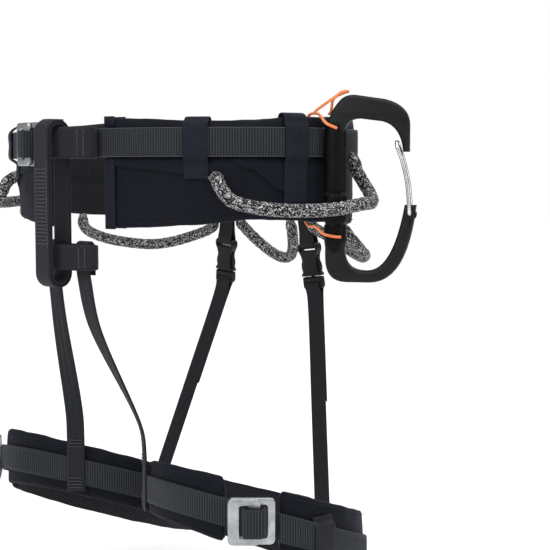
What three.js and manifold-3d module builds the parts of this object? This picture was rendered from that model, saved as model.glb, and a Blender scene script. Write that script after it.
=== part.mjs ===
// Climbing harness: padded waist belt, two leg loops, belay loop, gear loops, rear risers with
// side-release buckles, and a plastic tool carrier with a wire gate on the wearer's left hip.
// Millimetres. +Z is up, -Y is the wearer's front and +X the wearer's left. The origin is the
// centre of the waist opening, at the belt's mid-height.

import * as THREE from 'three';
import Module from 'manifold-3d';
import { mergeVertices } from 'three/addons/utils/BufferGeometryUtils.js';

const wasm = await Module();
wasm.setup();

// ---------------------------------------------------------------- driving dimensions

const LEFT = 1;
const RIGHT = -1;
const SIDES = [[LEFT, 'left'], [RIGHT, 'right']];
const GAP = 0.35; // between sewn layers, so that each stays its own solid

// Waist belt: an ellipse in plan. Angles run from the left hip (0) to the back (90).
const WAIST_HALF_WIDTH = 150;
const WAIST_HALF_DEPTH = 105;
const WAIST_END = -78; // angle of the pad's front ends
const WAIST_STEP = 6;
const SHELL_THICKNESS = 2.4;
const PAD_THICKNESS = 12;
// Belt edge heights: [degrees away from the back, bottom, top].
const BELT_EDGES = [
  [0, -41, 43],
  [60, -40, 41],
  [95, -36.6, 36.8],
  [108, -35, 36.8],
  [122, -34, 33.8],
  [143, -38, 34],
  [156, -40.3, 35.6],
  [168, -40.5, 36.6],
];

// Webbing that carries the load round the waist and the thighs.
const WEB_THICKNESS = 2.2;
const WEB_OUT = GAP + WEB_THICKNESS; // outer face, measured from the pad
const WAIST_WEB_BOTTOM = 9;
const WAIST_WEB_TOP = 29;
const LEG_WEB_WIDTH = 20;

// Leg loops: tilted rings. Angles run from the outside of the thigh (0) to the back (90).
const LEG_CENTRE_X = 86;
const LEG_CENTRE_Y = -8;
const LEG_RADIUS = 80;
const LEG_THICKNESS = 10;
const LEG_PAD_FROM = -36;
const LEG_PAD_TO = 296;
const LEG_STEP = 8.3;
const LEG_TOP_MEAN = -233.5;
const LEG_TILT = 28.5; // the back of the ring's top edge hangs this far under its mean
const LEG_HEIGHT = 49;
const LEG_HEIGHT_SWING = 6; // taller towards the outside and the back
const LEG_BUCKLE_ANGLE = -50;

// Flat plate buckles.
const BUCKLE_SIZE = 32;
const BUCKLE_THICKNESS = 3;
const BUCKLE_PLATE_LENGTH = 22;
const BUCKLE_SLOT = 5;
const BUCKLE_RAIL = 5;
const WAIST_BUCKLE_ANGLE = -70; // on the wearer's right

// Tie-in rings and belay loop, at the front centre.
const RING_BACK = -107.9;
const RING_FRONT = -126;
const RING_HALF_WIDTH = 30;
const RING_THICKNESS = 3;
const UPPER_RING = [8, 30];
const LOWER_RING = [-70, -52];
const BELAY_WIDTH = 16;
const BELAY_THICKNESS = 4;
const BELAY_CENTRE_Y = -125;
const BELAY_GAP = 13;
const BELAY_TOP = 25; // centre of the upper bend
const BELAY_BOTTOM = -72; // centre of the lower bend

// Rear risers, as distances down the line from the belt's hem through the buckle. Below the
// knee, at the buckle's lower end, the strap leans over towards its foot on the leg loop.
const RISER_TOP = new THREE.Vector3(43.5, 100, -36);
const RISER_KNEE = new THREE.Vector3(50.4, 104.8, -96.6);
const RISER_FOOT = new THREE.Vector3(90, 65.8, -260.6);
const RISER_WIDTH = 15;
const RISER_THICKNESS = 1.8;
const RISER_START = 6.1;
const RISER_FOLD_END = 150;
const CLIP_WIDTH = 19.5;
const CLIP_DEPTH = 6.5;
const CLIP_SLOT_HALF = RISER_WIDTH / 2 + 0.5;
const SOCKET_FROM = 24;
const SOCKET_TO = 51;
const SOCKET_SLOT = [26.5, 29.6];
const POCKET_FROM = 33;
const POCKET_HALF_DEPTH = 1.9;
const PLUG_FROM = 51.5;
const PLUG_TO = 61;
const PLUG_SLOT = [56.2, 58.8];
const PLUG_DEPTH = 5.5;
const TONGUE_FROM = 35.5;
const TONGUE_HALF_WIDTH = 1.4;

// Gear loops: [belt angle, distance out from the pad, height] along each tube.
const GEAR_TUBE_RADIUS = 4.6;
const GEAR_TUBE_SIDES = 8;
const FRONT_LOOP = [
  [-43.6, 5.4, -1.5],
  [-42.6, 8, -9],
  [-39.2, 14, -19.5],
  [-33.3, 21, -24.3],
  [-23.7, 25, -26.7],
  [-10, 25, -26.3],
  [2, 23.5, -23.3],
  [10.2, 21, -22],
  [13.4, 16.5, -16.5],
  [13, 11.5, -8],
  [12.5, 7, 0],
  [12.5, 5.6, 5.5],
];
const REAR_LOOP = [
  [68, -2.5, -44.8],
  [67.3, 1.2, -48.2],
  [64.8, 5, -51.8],
  [59.3, 8, -57],
  [49.4, 10, -64],
  [41.9, 10.5, -66],
  [30.3, 8, -63],
  [23.7, 6, -59.5],
  [17, 4, -53.5],
  [14, 0.8, -48],
  [13, -2.5, -42.1],
];
// Half of the loop at the centre of the back; the angle is measured from the back.
const BACK_LOOP_HALF = [
  [11, -3, -44.9],
  [10.3, 0, -48.6],
  [8.8, 4.5, -55],
  [6.2, 12, -64.5],
  [3, 18.5, -72.5],
];
const BACK_LOOP_LOWEST = [0, 20.5, -75];

// Tool carrier: a D in a vertical plane, turned about its stem.
const CARRIER_STEM = new THREE.Vector3(160.5, -8.5, 0);
const CARRIER_HEADING = 29; // degrees from +X towards +Y
const CARRIER_DEPTH = 9;
const STEM_HALF = 6.8;
const GATE_PIVOT = [51.5, -30];
const GATE_WIRE_RADIUS = 1.3;
const GATE_LEG_OFFSET = 6.4;
const GATE_HOLE_RADIUS = 1.8;
const ELASTIC_RADIUS = 1;

// ---------------------------------------------------------------- materials

function material(color, roughness, metalness = 0) {
  return new THREE.MeshStandardMaterial({ color, roughness, metalness });
}

const SHELL_FABRIC = material(0x14161f, 0.9);
const FOAM_MESH = material(0x1c1c20, 0.95);
const RIBBED_WEBBING = material(0x4a4d55, 0.85);
const TAPE = material(0x202127, 0.9);
const TIE_IN_WEBBING = material(0x2b2d33, 0.85);
const ELASTIC_WEBBING = material(0x1b1c21, 0.9);
const LOOP_SLEEVE = material(0x55565a, 0.9);
const BLACK_PLASTIC = material(0x121214, 0.5);
const BUCKLE_METAL = material(0x8d9096, 0.35, 1);
const GATE_STEEL = material(0xc5c8cc, 0.25, 1);
const ORANGE_ELASTIC = material(0xf0702e, 0.8);

// ---------------------------------------------------------------- geometry helpers

function mesh(name, geometry, surface) {
  const result = new THREE.Mesh(geometry, surface);
  result.name = name;
  return result;
}

function evenSteps(from, to, count) {
  return Array.from({ length: count + 1 }, (_, i) => from + ((to - from) * i) / count);
}

function signedVolume(points, faces) {
  return faces.reduce((sum, [a, b, c]) => (
    sum + points[a].dot(points[b].clone().cross(points[c])) / 6
  ), 0);
}

function geometryOf(points, faces) {
  const inward = signedVolume(points, faces) < 0;
  const index = faces.flatMap(([a, b, c]) => (inward ? [a, c, b] : [a, b, c]));
  const geometry = new THREE.BufferGeometry().setFromPoints(points);
  geometry.setIndex(index);
  geometry.computeVertexNormals();
  return geometry;
}

// Carries a closed outline through the stations and caps both ends. outlineAt(station) gives
// Vector2 points, and placeAt(station, point) puts one of them in space.
function loft(stations, outlineAt, placeAt) {
  const rings = stations.map((station) => {
    const outline = outlineAt(station);
    return THREE.ShapeUtils.area(outline) < 0 ? outline.reverse() : outline;
  });
  const count = rings[0].length;
  const points = rings.flatMap((ring, i) => ring.map((point) => placeAt(stations[i], point)));
  const faces = [];
  for (let i = 0; i + 1 < rings.length; i += 1) {
    for (let j = 0; j < count; j += 1) {
      const next = (j + 1) % count;
      const a = i * count + j;
      const b = i * count + next;
      faces.push([a, b, b + count], [a, b + count, a + count]);
    }
  }
  const last = (rings.length - 1) * count;
  for (const [a, b, c] of THREE.ShapeUtils.triangulateShape(rings[0], [])) {
    faces.push([c, b, a]);
  }
  for (const [a, b, c] of THREE.ShapeUtils.triangulateShape(rings.at(-1), [])) {
    faces.push([last + a, last + b, last + c]);
  }
  return geometryOf(points, faces);
}

function vectors(pairs) {
  return pairs.map(([x, y]) => new THREE.Vector2(x, y));
}

function rectangle(left, bottom, right, top) {
  return vectors([[left, bottom], [right, bottom], [right, top], [left, top]]);
}

// The outline of a tape of this thickness whose middle follows an open line.
function tapeOutline(line, thickness) {
  const middle = vectors(line);
  const normals = middle.slice(1).map((point, i) => {
    const run = point.clone().sub(middle[i]).normalize();
    return new THREE.Vector2(-run.y, run.x);
  });
  const offsets = middle.map((_, i) => {
    const before = normals[Math.max(i - 1, 0)];
    const after = normals[Math.min(i, normals.length - 1)];
    return before.clone().add(after).multiplyScalar(thickness / 2 / (1 + before.dot(after)));
  });
  const one = middle.map((point, i) => point.clone().add(offsets[i]));
  const other = middle.map((point, i) => point.clone().sub(offsets[i]));
  return [...one, ...other.reverse()];
}

function tube(points, radius, sides, steps) {
  const section = new THREE.Shape(
    Array.from({ length: sides }, (_, i) => {
      const turn = (i * 2 * Math.PI) / sides;
      return new THREE.Vector2(radius * Math.cos(turn), radius * Math.sin(turn));
    }),
  );
  const path = new THREE.CatmullRomCurve3(points, false, 'centripetal');
  return new THREE.ExtrudeGeometry(section, { steps, extrudePath: path });
}

function box(low, high) {
  const size = high.map((value, i) => value - low[i]);
  const centre = high.map((value, i) => (value + low[i]) / 2);
  return new THREE.BoxGeometry(...size).translate(...centre);
}

function toManifold(geometry) {
  const bare = geometry.clone();
  bare.deleteAttribute('normal');
  bare.deleteAttribute('uv');
  const merged = mergeVertices(bare);
  return new wasm.Manifold(new wasm.Mesh({
    numProp: 3,
    vertProperties: new Float32Array(merged.attributes.position.array),
    triVerts: new Uint32Array(merged.index.array),
  }));
}

function fromManifold(solid) {
  const { vertProperties, triVerts } = solid.getMesh();
  const geometry = new THREE.BufferGeometry();
  geometry.setAttribute('position', new THREE.BufferAttribute(vertProperties, 3));
  geometry.setIndex(new THREE.BufferAttribute(triVerts, 1));
  geometry.computeVertexNormals();
  return geometry;
}

function cut(geometry, ...tools) {
  const solid = tools.reduce((left, tool) => left.subtract(toManifold(tool)), toManifold(geometry));
  return fromManifold(solid);
}

function join(...geometries) {
  const [first, ...others] = geometries.map(toManifold);
  return fromManifold(others.reduce((sum, other) => sum.add(other), first));
}

// ---------------------------------------------------------------- the two kinds of ring

function radians(degrees) {
  return THREE.MathUtils.degToRad(degrees);
}

// A point by its belt angle, its distance out from the pad's outer face and its height.
function waistPoint(side, angle, out, z) {
  const c = Math.cos(radians(angle));
  const s = Math.sin(radians(angle));
  const normal = new THREE.Vector2(WAIST_HALF_DEPTH * c, WAIST_HALF_WIDTH * s).normalize();
  const x = WAIST_HALF_WIDTH * c + normal.x * out;
  const y = WAIST_HALF_DEPTH * s + normal.y * out;
  return new THREE.Vector3(side * x, y, z);
}

function waistHeading(side, angle) {
  const normal = waistPoint(side, angle, 1, 0).sub(waistPoint(side, angle, 0, 0));
  return Math.atan2(normal.y, normal.x);
}

function beltEdges(angle) {
  const away = Math.min(Math.abs(angle - 90), 168);
  const i = Math.max(1, BELT_EDGES.findIndex(([at]) => at >= away));
  const [from, lowBottom, lowTop] = BELT_EDGES[i - 1];
  const [to, highBottom, highTop] = BELT_EDGES[i];
  const share = THREE.MathUtils.smoothstep(away, from, to);
  return {
    bottom: THREE.MathUtils.lerp(lowBottom, highBottom, share),
    top: THREE.MathUtils.lerp(lowTop, highTop, share),
  };
}

// The same for a leg loop.
function legPoint(side, angle, out, z) {
  const reach = LEG_RADIUS + out;
  const x = LEG_CENTRE_X + reach * Math.cos(radians(angle));
  const y = LEG_CENTRE_Y + reach * Math.sin(radians(angle));
  return new THREE.Vector3(side * x, y, z);
}

function legHeading(side, angle) {
  return side === LEFT ? radians(angle) : Math.PI - radians(angle);
}

function legEdges(angle) {
  const s = Math.sin(radians(angle));
  const c = Math.cos(radians(angle));
  const top = LEG_TOP_MEAN - LEG_TILT * s;
  return { top, bottom: top - LEG_HEIGHT - LEG_HEIGHT_SWING * (s + c) };
}

function legMiddle(angle) {
  const { top, bottom } = legEdges(angle);
  return (top + bottom) / 2;
}

function waistBand(side, angles, outlineAt) {
  return loft(angles, outlineAt, (angle, p) => waistPoint(side, angle, p.x, p.y));
}

function legBand(side, angles, outlineAt) {
  return loft(angles, outlineAt, (angle, p) => legPoint(side, angle, p.x, p.y));
}

// ---------------------------------------------------------------- waist belt

const WAIST_ANGLES = evenSteps(WAIST_END, 180 - WAIST_END, (180 - 2 * WAIST_END) / WAIST_STEP);

function waistShell() {
  const geometry = waistBand(LEFT, WAIST_ANGLES, (angle) => {
    const { bottom, top } = beltEdges(angle);
    return rectangle(-SHELL_THICKNESS, bottom + 1, 0, top - 1);
  });
  return mesh('waist_shell', geometry, SHELL_FABRIC);
}

function waistFoam() {
  const outer = -SHELL_THICKNESS - GAP;
  const inner = -PAD_THICKNESS;
  const geometry = waistBand(LEFT, WAIST_ANGLES, (angle) => {
    const { bottom, top } = beltEdges(angle);
    return vectors([
      [inner, bottom + 5],
      [inner + 4, bottom],
      [outer, bottom],
      [outer, top],
      [inner + 4, top],
      [inner, top - 5],
    ]);
  });
  return mesh('waist_foam', geometry, FOAM_MESH);
}

// One long strap: it starts under the buckle, crosses the front and comes round the back.
function waistWebbing() {
  const angles = evenSteps(-108, 246, 59);
  const outline = () => rectangle(GAP, WAIST_WEB_BOTTOM, WEB_OUT, WAIST_WEB_TOP);
  return mesh('waist_webbing', waistBand(LEFT, angles, outline), RIBBED_WEBBING);
}

function waistTail() {
  const angles = evenSteps(-62, -32, 5);
  const inner = WEB_OUT + GAP;
  const outline = () => rectangle(inner, WAIST_WEB_BOTTOM, inner + WEB_THICKNESS, WAIST_WEB_TOP);
  return mesh('waist_webbing_tail', waistBand(RIGHT, angles, outline), RIBBED_WEBBING);
}

// A tape sewn over the webbing, round the belt's top edge and down its inside.
function waistKeeper(side, name, from, to, bottom, layers) {
  const thickness = 1.2;
  const flat = GAP + thickness / 2 + 0.05;
  const raised = layers * (WEB_THICKNESS + GAP) + GAP + thickness / 2 + 0.1;
  const inside = -PAD_THICKNESS - flat;
  const geometry = waistBand(side, evenSteps(from, to, 3), (angle) => {
    const { top } = beltEdges(angle);
    return tapeOutline([
      [flat, bottom],
      [flat, 5.5],
      [raised, 8],
      [raised, 30],
      [flat, 32],
      [flat, top - 0.5],
      [-1.5, top + 1.1],
      [inside + 2.5, top + 1.1],
      [inside, top - 4],
      [inside, top - 16],
    ], thickness);
  });
  return mesh(name, geometry, TAPE);
}

// ---------------------------------------------------------------- plate buckles

// Two flat plates in a frame whose +X is the outward normal and whose Y runs along the strap.
// The outer plate swings about the edge on the strap's +Y or -Y side, opposite to the hand.
function plateBuckle(name, framePart, platePart, hand) {
  const half = BUCKLE_SIZE / 2;
  const slotHalf = half - BUCKLE_RAIL;
  const slots = [-8, 8].map((y) => box(
    [-1, y - BUCKLE_SLOT / 2, -slotHalf],
    [BUCKLE_THICKNESS + 1, y + BUCKLE_SLOT / 2, slotHalf],
  ));
  const frame = cut(box([0, -half, -half], [BUCKLE_THICKNESS, half, half]), ...slots);
  const low = BUCKLE_THICKNESS + GAP;
  const high = low + BUCKLE_THICKNESS - 0.4;
  const plateHalf = BUCKLE_PLATE_LENGTH / 2;
  const plate = cut(
    box([low, -plateHalf, -half], [high, plateHalf, half]),
    box([low - 1, -3, -slotHalf], [high + 1, 3, slotHalf]),
  ).translate(0, hand * (plateHalf - half), 0);
  const group = new THREE.Group();
  group.name = name;
  group.add(mesh(framePart, frame, BUCKLE_METAL), mesh(platePart, plate, BUCKLE_METAL));
  return group;
}

function waistBuckle() {
  const group = plateBuckle('waist_buckle', 'waist_buckle_frame', 'waist_buckle_plate', 1);
  const middle = (WAIST_WEB_BOTTOM + WAIST_WEB_TOP) / 2;
  group.position.copy(waistPoint(RIGHT, WAIST_BUCKLE_ANGLE, WEB_OUT + GAP, middle));
  group.rotation.z = waistHeading(RIGHT, WAIST_BUCKLE_ANGLE);
  return group;
}

function legBuckle(side, label) {
  const group = plateBuckle(
    `leg_buckle_${label}`, `leg_buckle_frame_${label}`, `leg_buckle_plate_${label}`, side,
  );
  const angle = LEG_BUCKLE_ANGLE;
  group.position.copy(legPoint(side, angle, WEB_OUT + GAP, legMiddle(angle)));
  group.rotation.z = legHeading(side, angle);
  return group;
}

// ---------------------------------------------------------------- tie-in rings, belay loop

// A D-shaped ring of webbing in plan, open from top to bottom.
function tieInRing(name, [bottom, top]) {
  const shape = new THREE.Shape();
  const drawRing = (path, half, back, front) => {
    const pull = back + (front - back) * (4 / 3);
    path.moveTo(-half, back);
    path.bezierCurveTo(-half, pull, half, pull, half, back);
  };
  drawRing(shape, RING_HALF_WIDTH, RING_BACK, RING_FRONT);
  const hole = new THREE.Path();
  const t = RING_THICKNESS;
  drawRing(hole, RING_HALF_WIDTH - t, RING_BACK - t, RING_FRONT + t);
  shape.holes.push(hole);
  const geometry = new THREE.ExtrudeGeometry(shape, {
    depth: top - bottom, bevelEnabled: false, curveSegments: 14,
  });
  const ring = mesh(name, geometry, TIE_IN_WEBBING);
  ring.position.z = bottom;
  return ring;
}

// A closed loop of doubled webbing, standing in the plane of symmetry.
function belayLoop() {
  const drawLoop = (path, radius) => {
    path.absarc(0, BELAY_TOP, radius, 0, Math.PI, false);
    path.absarc(0, BELAY_BOTTOM, radius, Math.PI, 2 * Math.PI, false);
  };
  const shape = new THREE.Shape();
  drawLoop(shape, BELAY_GAP / 2 + BELAY_THICKNESS);
  const hole = new THREE.Path();
  drawLoop(hole, BELAY_GAP / 2);
  shape.holes.push(hole);
  const geometry = new THREE.ExtrudeGeometry(shape, {
    depth: BELAY_WIDTH, bevelEnabled: false, curveSegments: 10,
  });
  geometry.translate(0, 0, -BELAY_WIDTH / 2);
  const loop = mesh('belay_loop', geometry, TIE_IN_WEBBING);
  loop.rotation.set(Math.PI / 2, 0, Math.PI / 2, 'ZYX');
  loop.position.y = BELAY_CENTRE_Y;
  return loop;
}

// From under the lower ring, down and out to the front of a leg loop, over its webbing.
function bridgeStrap(side, label) {
  const foot = -125;
  const out = WEB_OUT + 1.65;
  const across = legPoint(side, foot + 90, 0, 0).sub(legPoint(side, foot + 90, -1, 0));
  const stations = [
    { at: new THREE.Vector3(side * 10, -109.2, -70.6), across: new THREE.Vector3(side, 0, 0) },
    { at: legPoint(side, foot, out, -203), across },
    { at: legPoint(side, foot, out, -246), across },
  ];
  const outline = rectangle(-7, -1.1, 7, 1.1);
  const geometry = loft(stations, () => outline.slice(), ({ at, across: wide }, p) => {
    const outward = new THREE.Vector3(wide.y, -wide.x, 0).multiplyScalar(side);
    return at.clone().addScaledVector(wide, p.x).addScaledVector(outward, p.y);
  });
  return mesh(`bridge_strap_${label}`, geometry, TIE_IN_WEBBING);
}

// ---------------------------------------------------------------- leg loops

const LEG_ANGLES = evenSteps(LEG_PAD_FROM, LEG_PAD_TO, (LEG_PAD_TO - LEG_PAD_FROM) / LEG_STEP);

function legPad(side, label) {
  const geometry = legBand(side, LEG_ANGLES, (angle) => {
    const { bottom, top } = legEdges(angle);
    return vectors([
      [-LEG_THICKNESS, bottom + 5],
      [-LEG_THICKNESS + 4, bottom],
      [0, bottom + 1],
      [0, top - 1],
      [-LEG_THICKNESS + 4, top],
      [-LEG_THICKNESS, top - 5],
    ]);
  });
  return mesh(`leg_pad_${label}`, geometry, SHELL_FABRIC);
}

function legStrap(side, name, angles, inner) {
  const half = LEG_WEB_WIDTH / 2;
  const geometry = legBand(side, angles, (angle) => {
    const middle = legMiddle(angle);
    return rectangle(inner, middle - half, inner + WEB_THICKNESS, middle + half);
  });
  return mesh(name, geometry, RIBBED_WEBBING);
}

function legWebbing(side, label) {
  const steps = LEG_ANGLES.length + 1;
  const angles = evenSteps(LEG_PAD_FROM - LEG_STEP, LEG_PAD_TO + LEG_STEP, steps);
  return legStrap(side, `leg_webbing_${label}`, angles, GAP);
}

function legTail(side, label) {
  const angles = evenSteps(LEG_PAD_FROM, LEG_PAD_FROM + 6 * LEG_STEP, 6);
  return legStrap(side, `leg_webbing_tail_${label}`, angles, WEB_OUT + GAP);
}

// A flat elastic arch that holds the tail against the leg loop.
function legKeeper(side, label) {
  const thickness = 1.2;
  const flat = GAP + thickness / 2;
  const raised = 2 * (WEB_THICKNESS + GAP) + GAP + thickness / 2 + 0.2;
  const geometry = legBand(side, evenSteps(-20, -8, 2), (angle) => {
    const middle = legMiddle(angle);
    return tapeOutline([
      [flat, middle - 16],
      [flat, middle - 13],
      [raised, middle - 10.5],
      [raised, middle + 10.5],
      [flat, middle + 13],
      [flat, middle + 16],
    ], thickness);
  });
  return mesh(`leg_keeper_${label}`, geometry, TAPE);
}

// ---------------------------------------------------------------- rear risers

// Local frame: -Z runs down the riser, +Y faces away from the wearer.
function riserGroup(side) {
  const top = RISER_TOP.clone();
  const knee = RISER_KNEE.clone();
  top.x *= side;
  knee.x *= side;
  const up = top.clone().sub(knee).normalize();
  const across = new THREE.Vector3(0, 1, 0).cross(up).normalize();
  const outward = up.clone().cross(across);
  const group = new THREE.Group();
  group.position.copy(top);
  group.quaternion.setFromRotationMatrix(new THREE.Matrix4().makeBasis(across, outward, up));
  return group;
}

function riserBox(halfWidth, halfDepth, from, to) {
  return box([-halfWidth, -halfDepth, -to], [halfWidth, halfDepth, -from]);
}

function riserSocket(label) {
  const strapSlot = riserBox(CLIP_SLOT_HALF, CLIP_DEPTH, ...SOCKET_SLOT);
  const pocket = riserBox(CLIP_WIDTH, POCKET_HALF_DEPTH, POCKET_FROM, SOCKET_TO + 1);
  const body = riserBox(CLIP_WIDTH / 2, CLIP_DEPTH / 2, SOCKET_FROM, SOCKET_TO);
  return mesh(`riser_buckle_socket_${label}`, cut(body, strapSlot, pocket), BLACK_PLASTIC);
}

function riserPlug(label) {
  const tongue = riserBox(TONGUE_HALF_WIDTH, 1.2, TONGUE_FROM, PLUG_FROM + 1);
  const base = riserBox(CLIP_WIDTH / 2, PLUG_DEPTH / 2, PLUG_FROM, PLUG_TO);
  const strapSlot = riserBox(CLIP_SLOT_HALF, PLUG_DEPTH, ...PLUG_SLOT);
  const geometry = cut(join(base, tongue), strapSlot);
  return mesh(`riser_buckle_plug_${label}`, geometry, BLACK_PLASTIC);
}

// A sprung arm of the plug, with the button that shows at the socket's side.
function riserProng(label, hand) {
  const outline = [
    [3.6, 51.2], [8.2, 51.2], [8.7, 49], [10.1, 46], [10.1, 41], [8.3, 37], [7, 34.6], [3.6, 34.6],
  ];
  const shape = new THREE.Shape(vectors(outline.map(([w, s]) => [hand * w, -s])));
  const geometry = new THREE.ExtrudeGeometry(shape, { depth: 2.6, bevelEnabled: false });
  geometry.translate(0, 0, -1.3).rotateX(Math.PI / 2);
  const place = hand > 0 ? 'a' : 'b';
  return mesh(`riser_buckle_button_${label}_${place}`, geometry, BLACK_PLASTIC);
}

function riserUpper(label) {
  const geometry = riserBox(RISER_WIDTH / 2, RISER_THICKNESS / 2, RISER_START, SOCKET_FROM - GAP);
  return mesh(`riser_strap_upper_${label}`, geometry, ELASTIC_WEBBING);
}

// Doubled near the buckle, where the strap turns back on itself, then single. The foot is in
// the group's own frame, and each level of the strap slides sideways in step towards it.
function riserLower(label, foot) {
  const half = RISER_THICKNESS / 2;
  const from = PLUG_TO + GAP;
  const layers = join(
    riserBox(RISER_WIDTH / 2, half, from, -foot.z),
    riserBox(RISER_WIDTH / 2, half, from, RISER_FOLD_END).translate(0, RISER_THICKNESS * 0.95, 0),
  );
  const lean = -1 / (-foot.z - from);
  const shear = new THREE.Matrix4().makeShear(0, 0, 0, 0, lean * foot.x, lean * foot.y);
  layers.translate(0, 0, from).applyMatrix4(shear).translate(0, 0, -from);
  return mesh(`riser_strap_lower_${label}`, layers, ELASTIC_WEBBING);
}

function riser(side, label) {
  const group = riserGroup(side);
  group.updateMatrixWorld();
  const foot = group.worldToLocal(new THREE.Vector3(side * RISER_FOOT.x, RISER_FOOT.y, RISER_FOOT.z));
  group.add(riserUpper(label), riserSocket(label), riserPlug(label));
  group.add(riserProng(label, 1), riserProng(label, -1), riserLower(label, foot));
  return group;
}

// ---------------------------------------------------------------- gear loops

function gearLoop(name, side, route, steps) {
  const points = route.map(([angle, out, z]) => waistPoint(side, angle, out, z));
  const geometry = tube(points, GEAR_TUBE_RADIUS, GEAR_TUBE_SIDES, steps);
  return mesh(name, geometry, LOOP_SLEEVE);
}

function backGearLoop() {
  const rise = BACK_LOOP_HALF.map(([away, out, z]) => [90 + away, out, z]);
  const fall = BACK_LOOP_HALF.map(([away, out, z]) => [90 - away, out, z]).reverse();
  const lowest = [90 + BACK_LOOP_LOWEST[0], BACK_LOOP_LOWEST[1], BACK_LOOP_LOWEST[2]];
  return gearLoop('gear_loop_back', LEFT, [...rise, lowest, ...fall], 26);
}

// ---------------------------------------------------------------- tool carrier

function carrierShape() {
  const shape = new THREE.Shape();
  shape.moveTo(-STEM_HALF, -60);
  shape.lineTo(-STEM_HALF, 24);
  shape.quadraticCurveTo(-5.5, 42, 0, 48);
  shape.quadraticCurveTo(4, 52, 10, 51.5);
  shape.lineTo(34, 48);
  shape.quadraticCurveTo(50.9, 44, 50.9, 30);
  shape.lineTo(50.9, 12.3);
  shape.lineTo(46.5, 12.3);
  shape.quadraticCurveTo(45, 30, 32, 33);
  shape.lineTo(17, 35);
  shape.quadraticCurveTo(STEM_HALF, 35, STEM_HALF, 24);
  shape.lineTo(STEM_HALF, -54);
  shape.quadraticCurveTo(STEM_HALF, -68.8, 22, -68.8);
  shape.quadraticCurveTo(40, -68.8, 47.9, -23.5);
  shape.lineTo(55.8, -23.5);
  shape.quadraticCurveTo(50, -77, 24, -77);
  shape.lineTo(8, -77);
  shape.quadraticCurveTo(-STEM_HALF, -77, -STEM_HALF, -60);
  return shape;
}

function carrierBody() {
  const bevel = 1.5;
  const geometry = new THREE.ExtrudeGeometry(carrierShape(), {
    depth: CARRIER_DEPTH - 2 * bevel,
    bevelThickness: bevel,
    bevelSize: bevel,
    bevelOffset: -bevel,
    bevelSegments: 2,
    curveSegments: 6,
  });
  geometry.translate(0, 0, bevel - CARRIER_DEPTH / 2);
  const hole = new THREE.CylinderGeometry(GATE_HOLE_RADIUS, GATE_HOLE_RADIUS, 20, 12);
  hole.rotateX(Math.PI / 2).translate(...GATE_PIVOT, 0);
  const body = mesh('carrier_body', cut(geometry, hole), BLACK_PLASTIC);
  body.rotation.x = Math.PI / 2;
  return body;
}

// A U of steel wire whose bent-in ends turn in the hole of the lower arm.
function carrierGate() {
  const [pivotX, pivotZ] = GATE_PIVOT;
  const leg = GATE_LEG_OFFSET;
  const half = [
    [pivotX, 2.2, pivotZ],
    [pivotX, 4.4, pivotZ],
    [pivotX, leg - 0.5, pivotZ + 0.7],
    [pivotX - 0.1, leg, pivotZ + 3],
    [pivotX - 1.5, leg, pivotZ + 20],
    [46.5, leg, 6],
    [43, leg, 16],
    [42.4, leg - 1.8, 18.6],
    [42.3, 2.5, 19],
  ];
  const near = half.map(([x, y, z]) => new THREE.Vector3(x, -y, z));
  const far = half.map(([x, y, z]) => new THREE.Vector3(x, y, z)).reverse();
  const geometry = tube([...near, ...far], GATE_WIRE_RADIUS, 8, 56);
  return mesh('carrier_gate', geometry, GATE_STEEL);
}

function carrier() {
  const group = new THREE.Group();
  group.position.copy(CARRIER_STEM);
  group.rotation.z = radians(CARRIER_HEADING);
  group.add(carrierBody(), carrierGate());
  return group;
}

// A point in the carrier's own frame: along the D, across its thickness, and up.
function carrierPoint(along, acrossDepth, z) {
  const point = new THREE.Vector3(along, acrossDepth, z);
  return point.applyAxisAngle(new THREE.Vector3(0, 0, 1), radians(CARRIER_HEADING)).add(CARRIER_STEM);
}

// One cord from the stem, over the belt's top edge, down its inside and back under the hem.
function carrierCord() {
  const inside = -PAD_THICKNESS - 1.6;
  const route = [
    carrierPoint(2, -6.2, 28.3),
    carrierPoint(-5, -7.2, 31.5),
    waistPoint(LEFT, -7, 2.2, 36.9),
    waistPoint(LEFT, -6.6, -1.5, 38.6),
    waistPoint(LEFT, -6.4, -10, 38.6),
    waistPoint(LEFT, -6.6, inside, 34.5),
    waistPoint(LEFT, -7, inside, 12),
    waistPoint(LEFT, -7.4, inside, -12),
    waistPoint(LEFT, -7.8, inside, -33),
    waistPoint(LEFT, -8, -9, -38.4),
    waistPoint(LEFT, -8.2, -1.5, -38.4),
    waistPoint(LEFT, -8.4, 3, -39.4),
    waistPoint(LEFT, -8.2, 8, -43.2),
    carrierPoint(1, -7.2, -45.4),
    carrierPoint(5, -6.2, -45.6),
  ];
  return mesh('carrier_elastic_cord', tube(route, ELASTIC_RADIUS, 6, 48), ORANGE_ELASTIC);
}

// The loop that hooks over the carrier's head, from the belt's top edge and back to it.
function carrierCordLoop() {
  const route = [
    waistPoint(LEFT, -8.8, -1.5, 38.8),
    waistPoint(LEFT, -8.2, 2, 41.6),
    carrierPoint(0.5, -6.4, 49.5),
    carrierPoint(5, -5, 52.9),
    carrierPoint(8.5, 0, 53.4),
    carrierPoint(5, 5, 52.9),
    carrierPoint(-2.5, 6.2, 49),
    waistPoint(LEFT, -1.2, 1.5, 40.5),
    waistPoint(LEFT, -0.5, -1.5, 38.8),
  ];
  return mesh('carrier_elastic_loop', tube(route, ELASTIC_RADIUS, 6, 30), ORANGE_ELASTIC);
}

// ---------------------------------------------------------------- the harness

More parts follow.
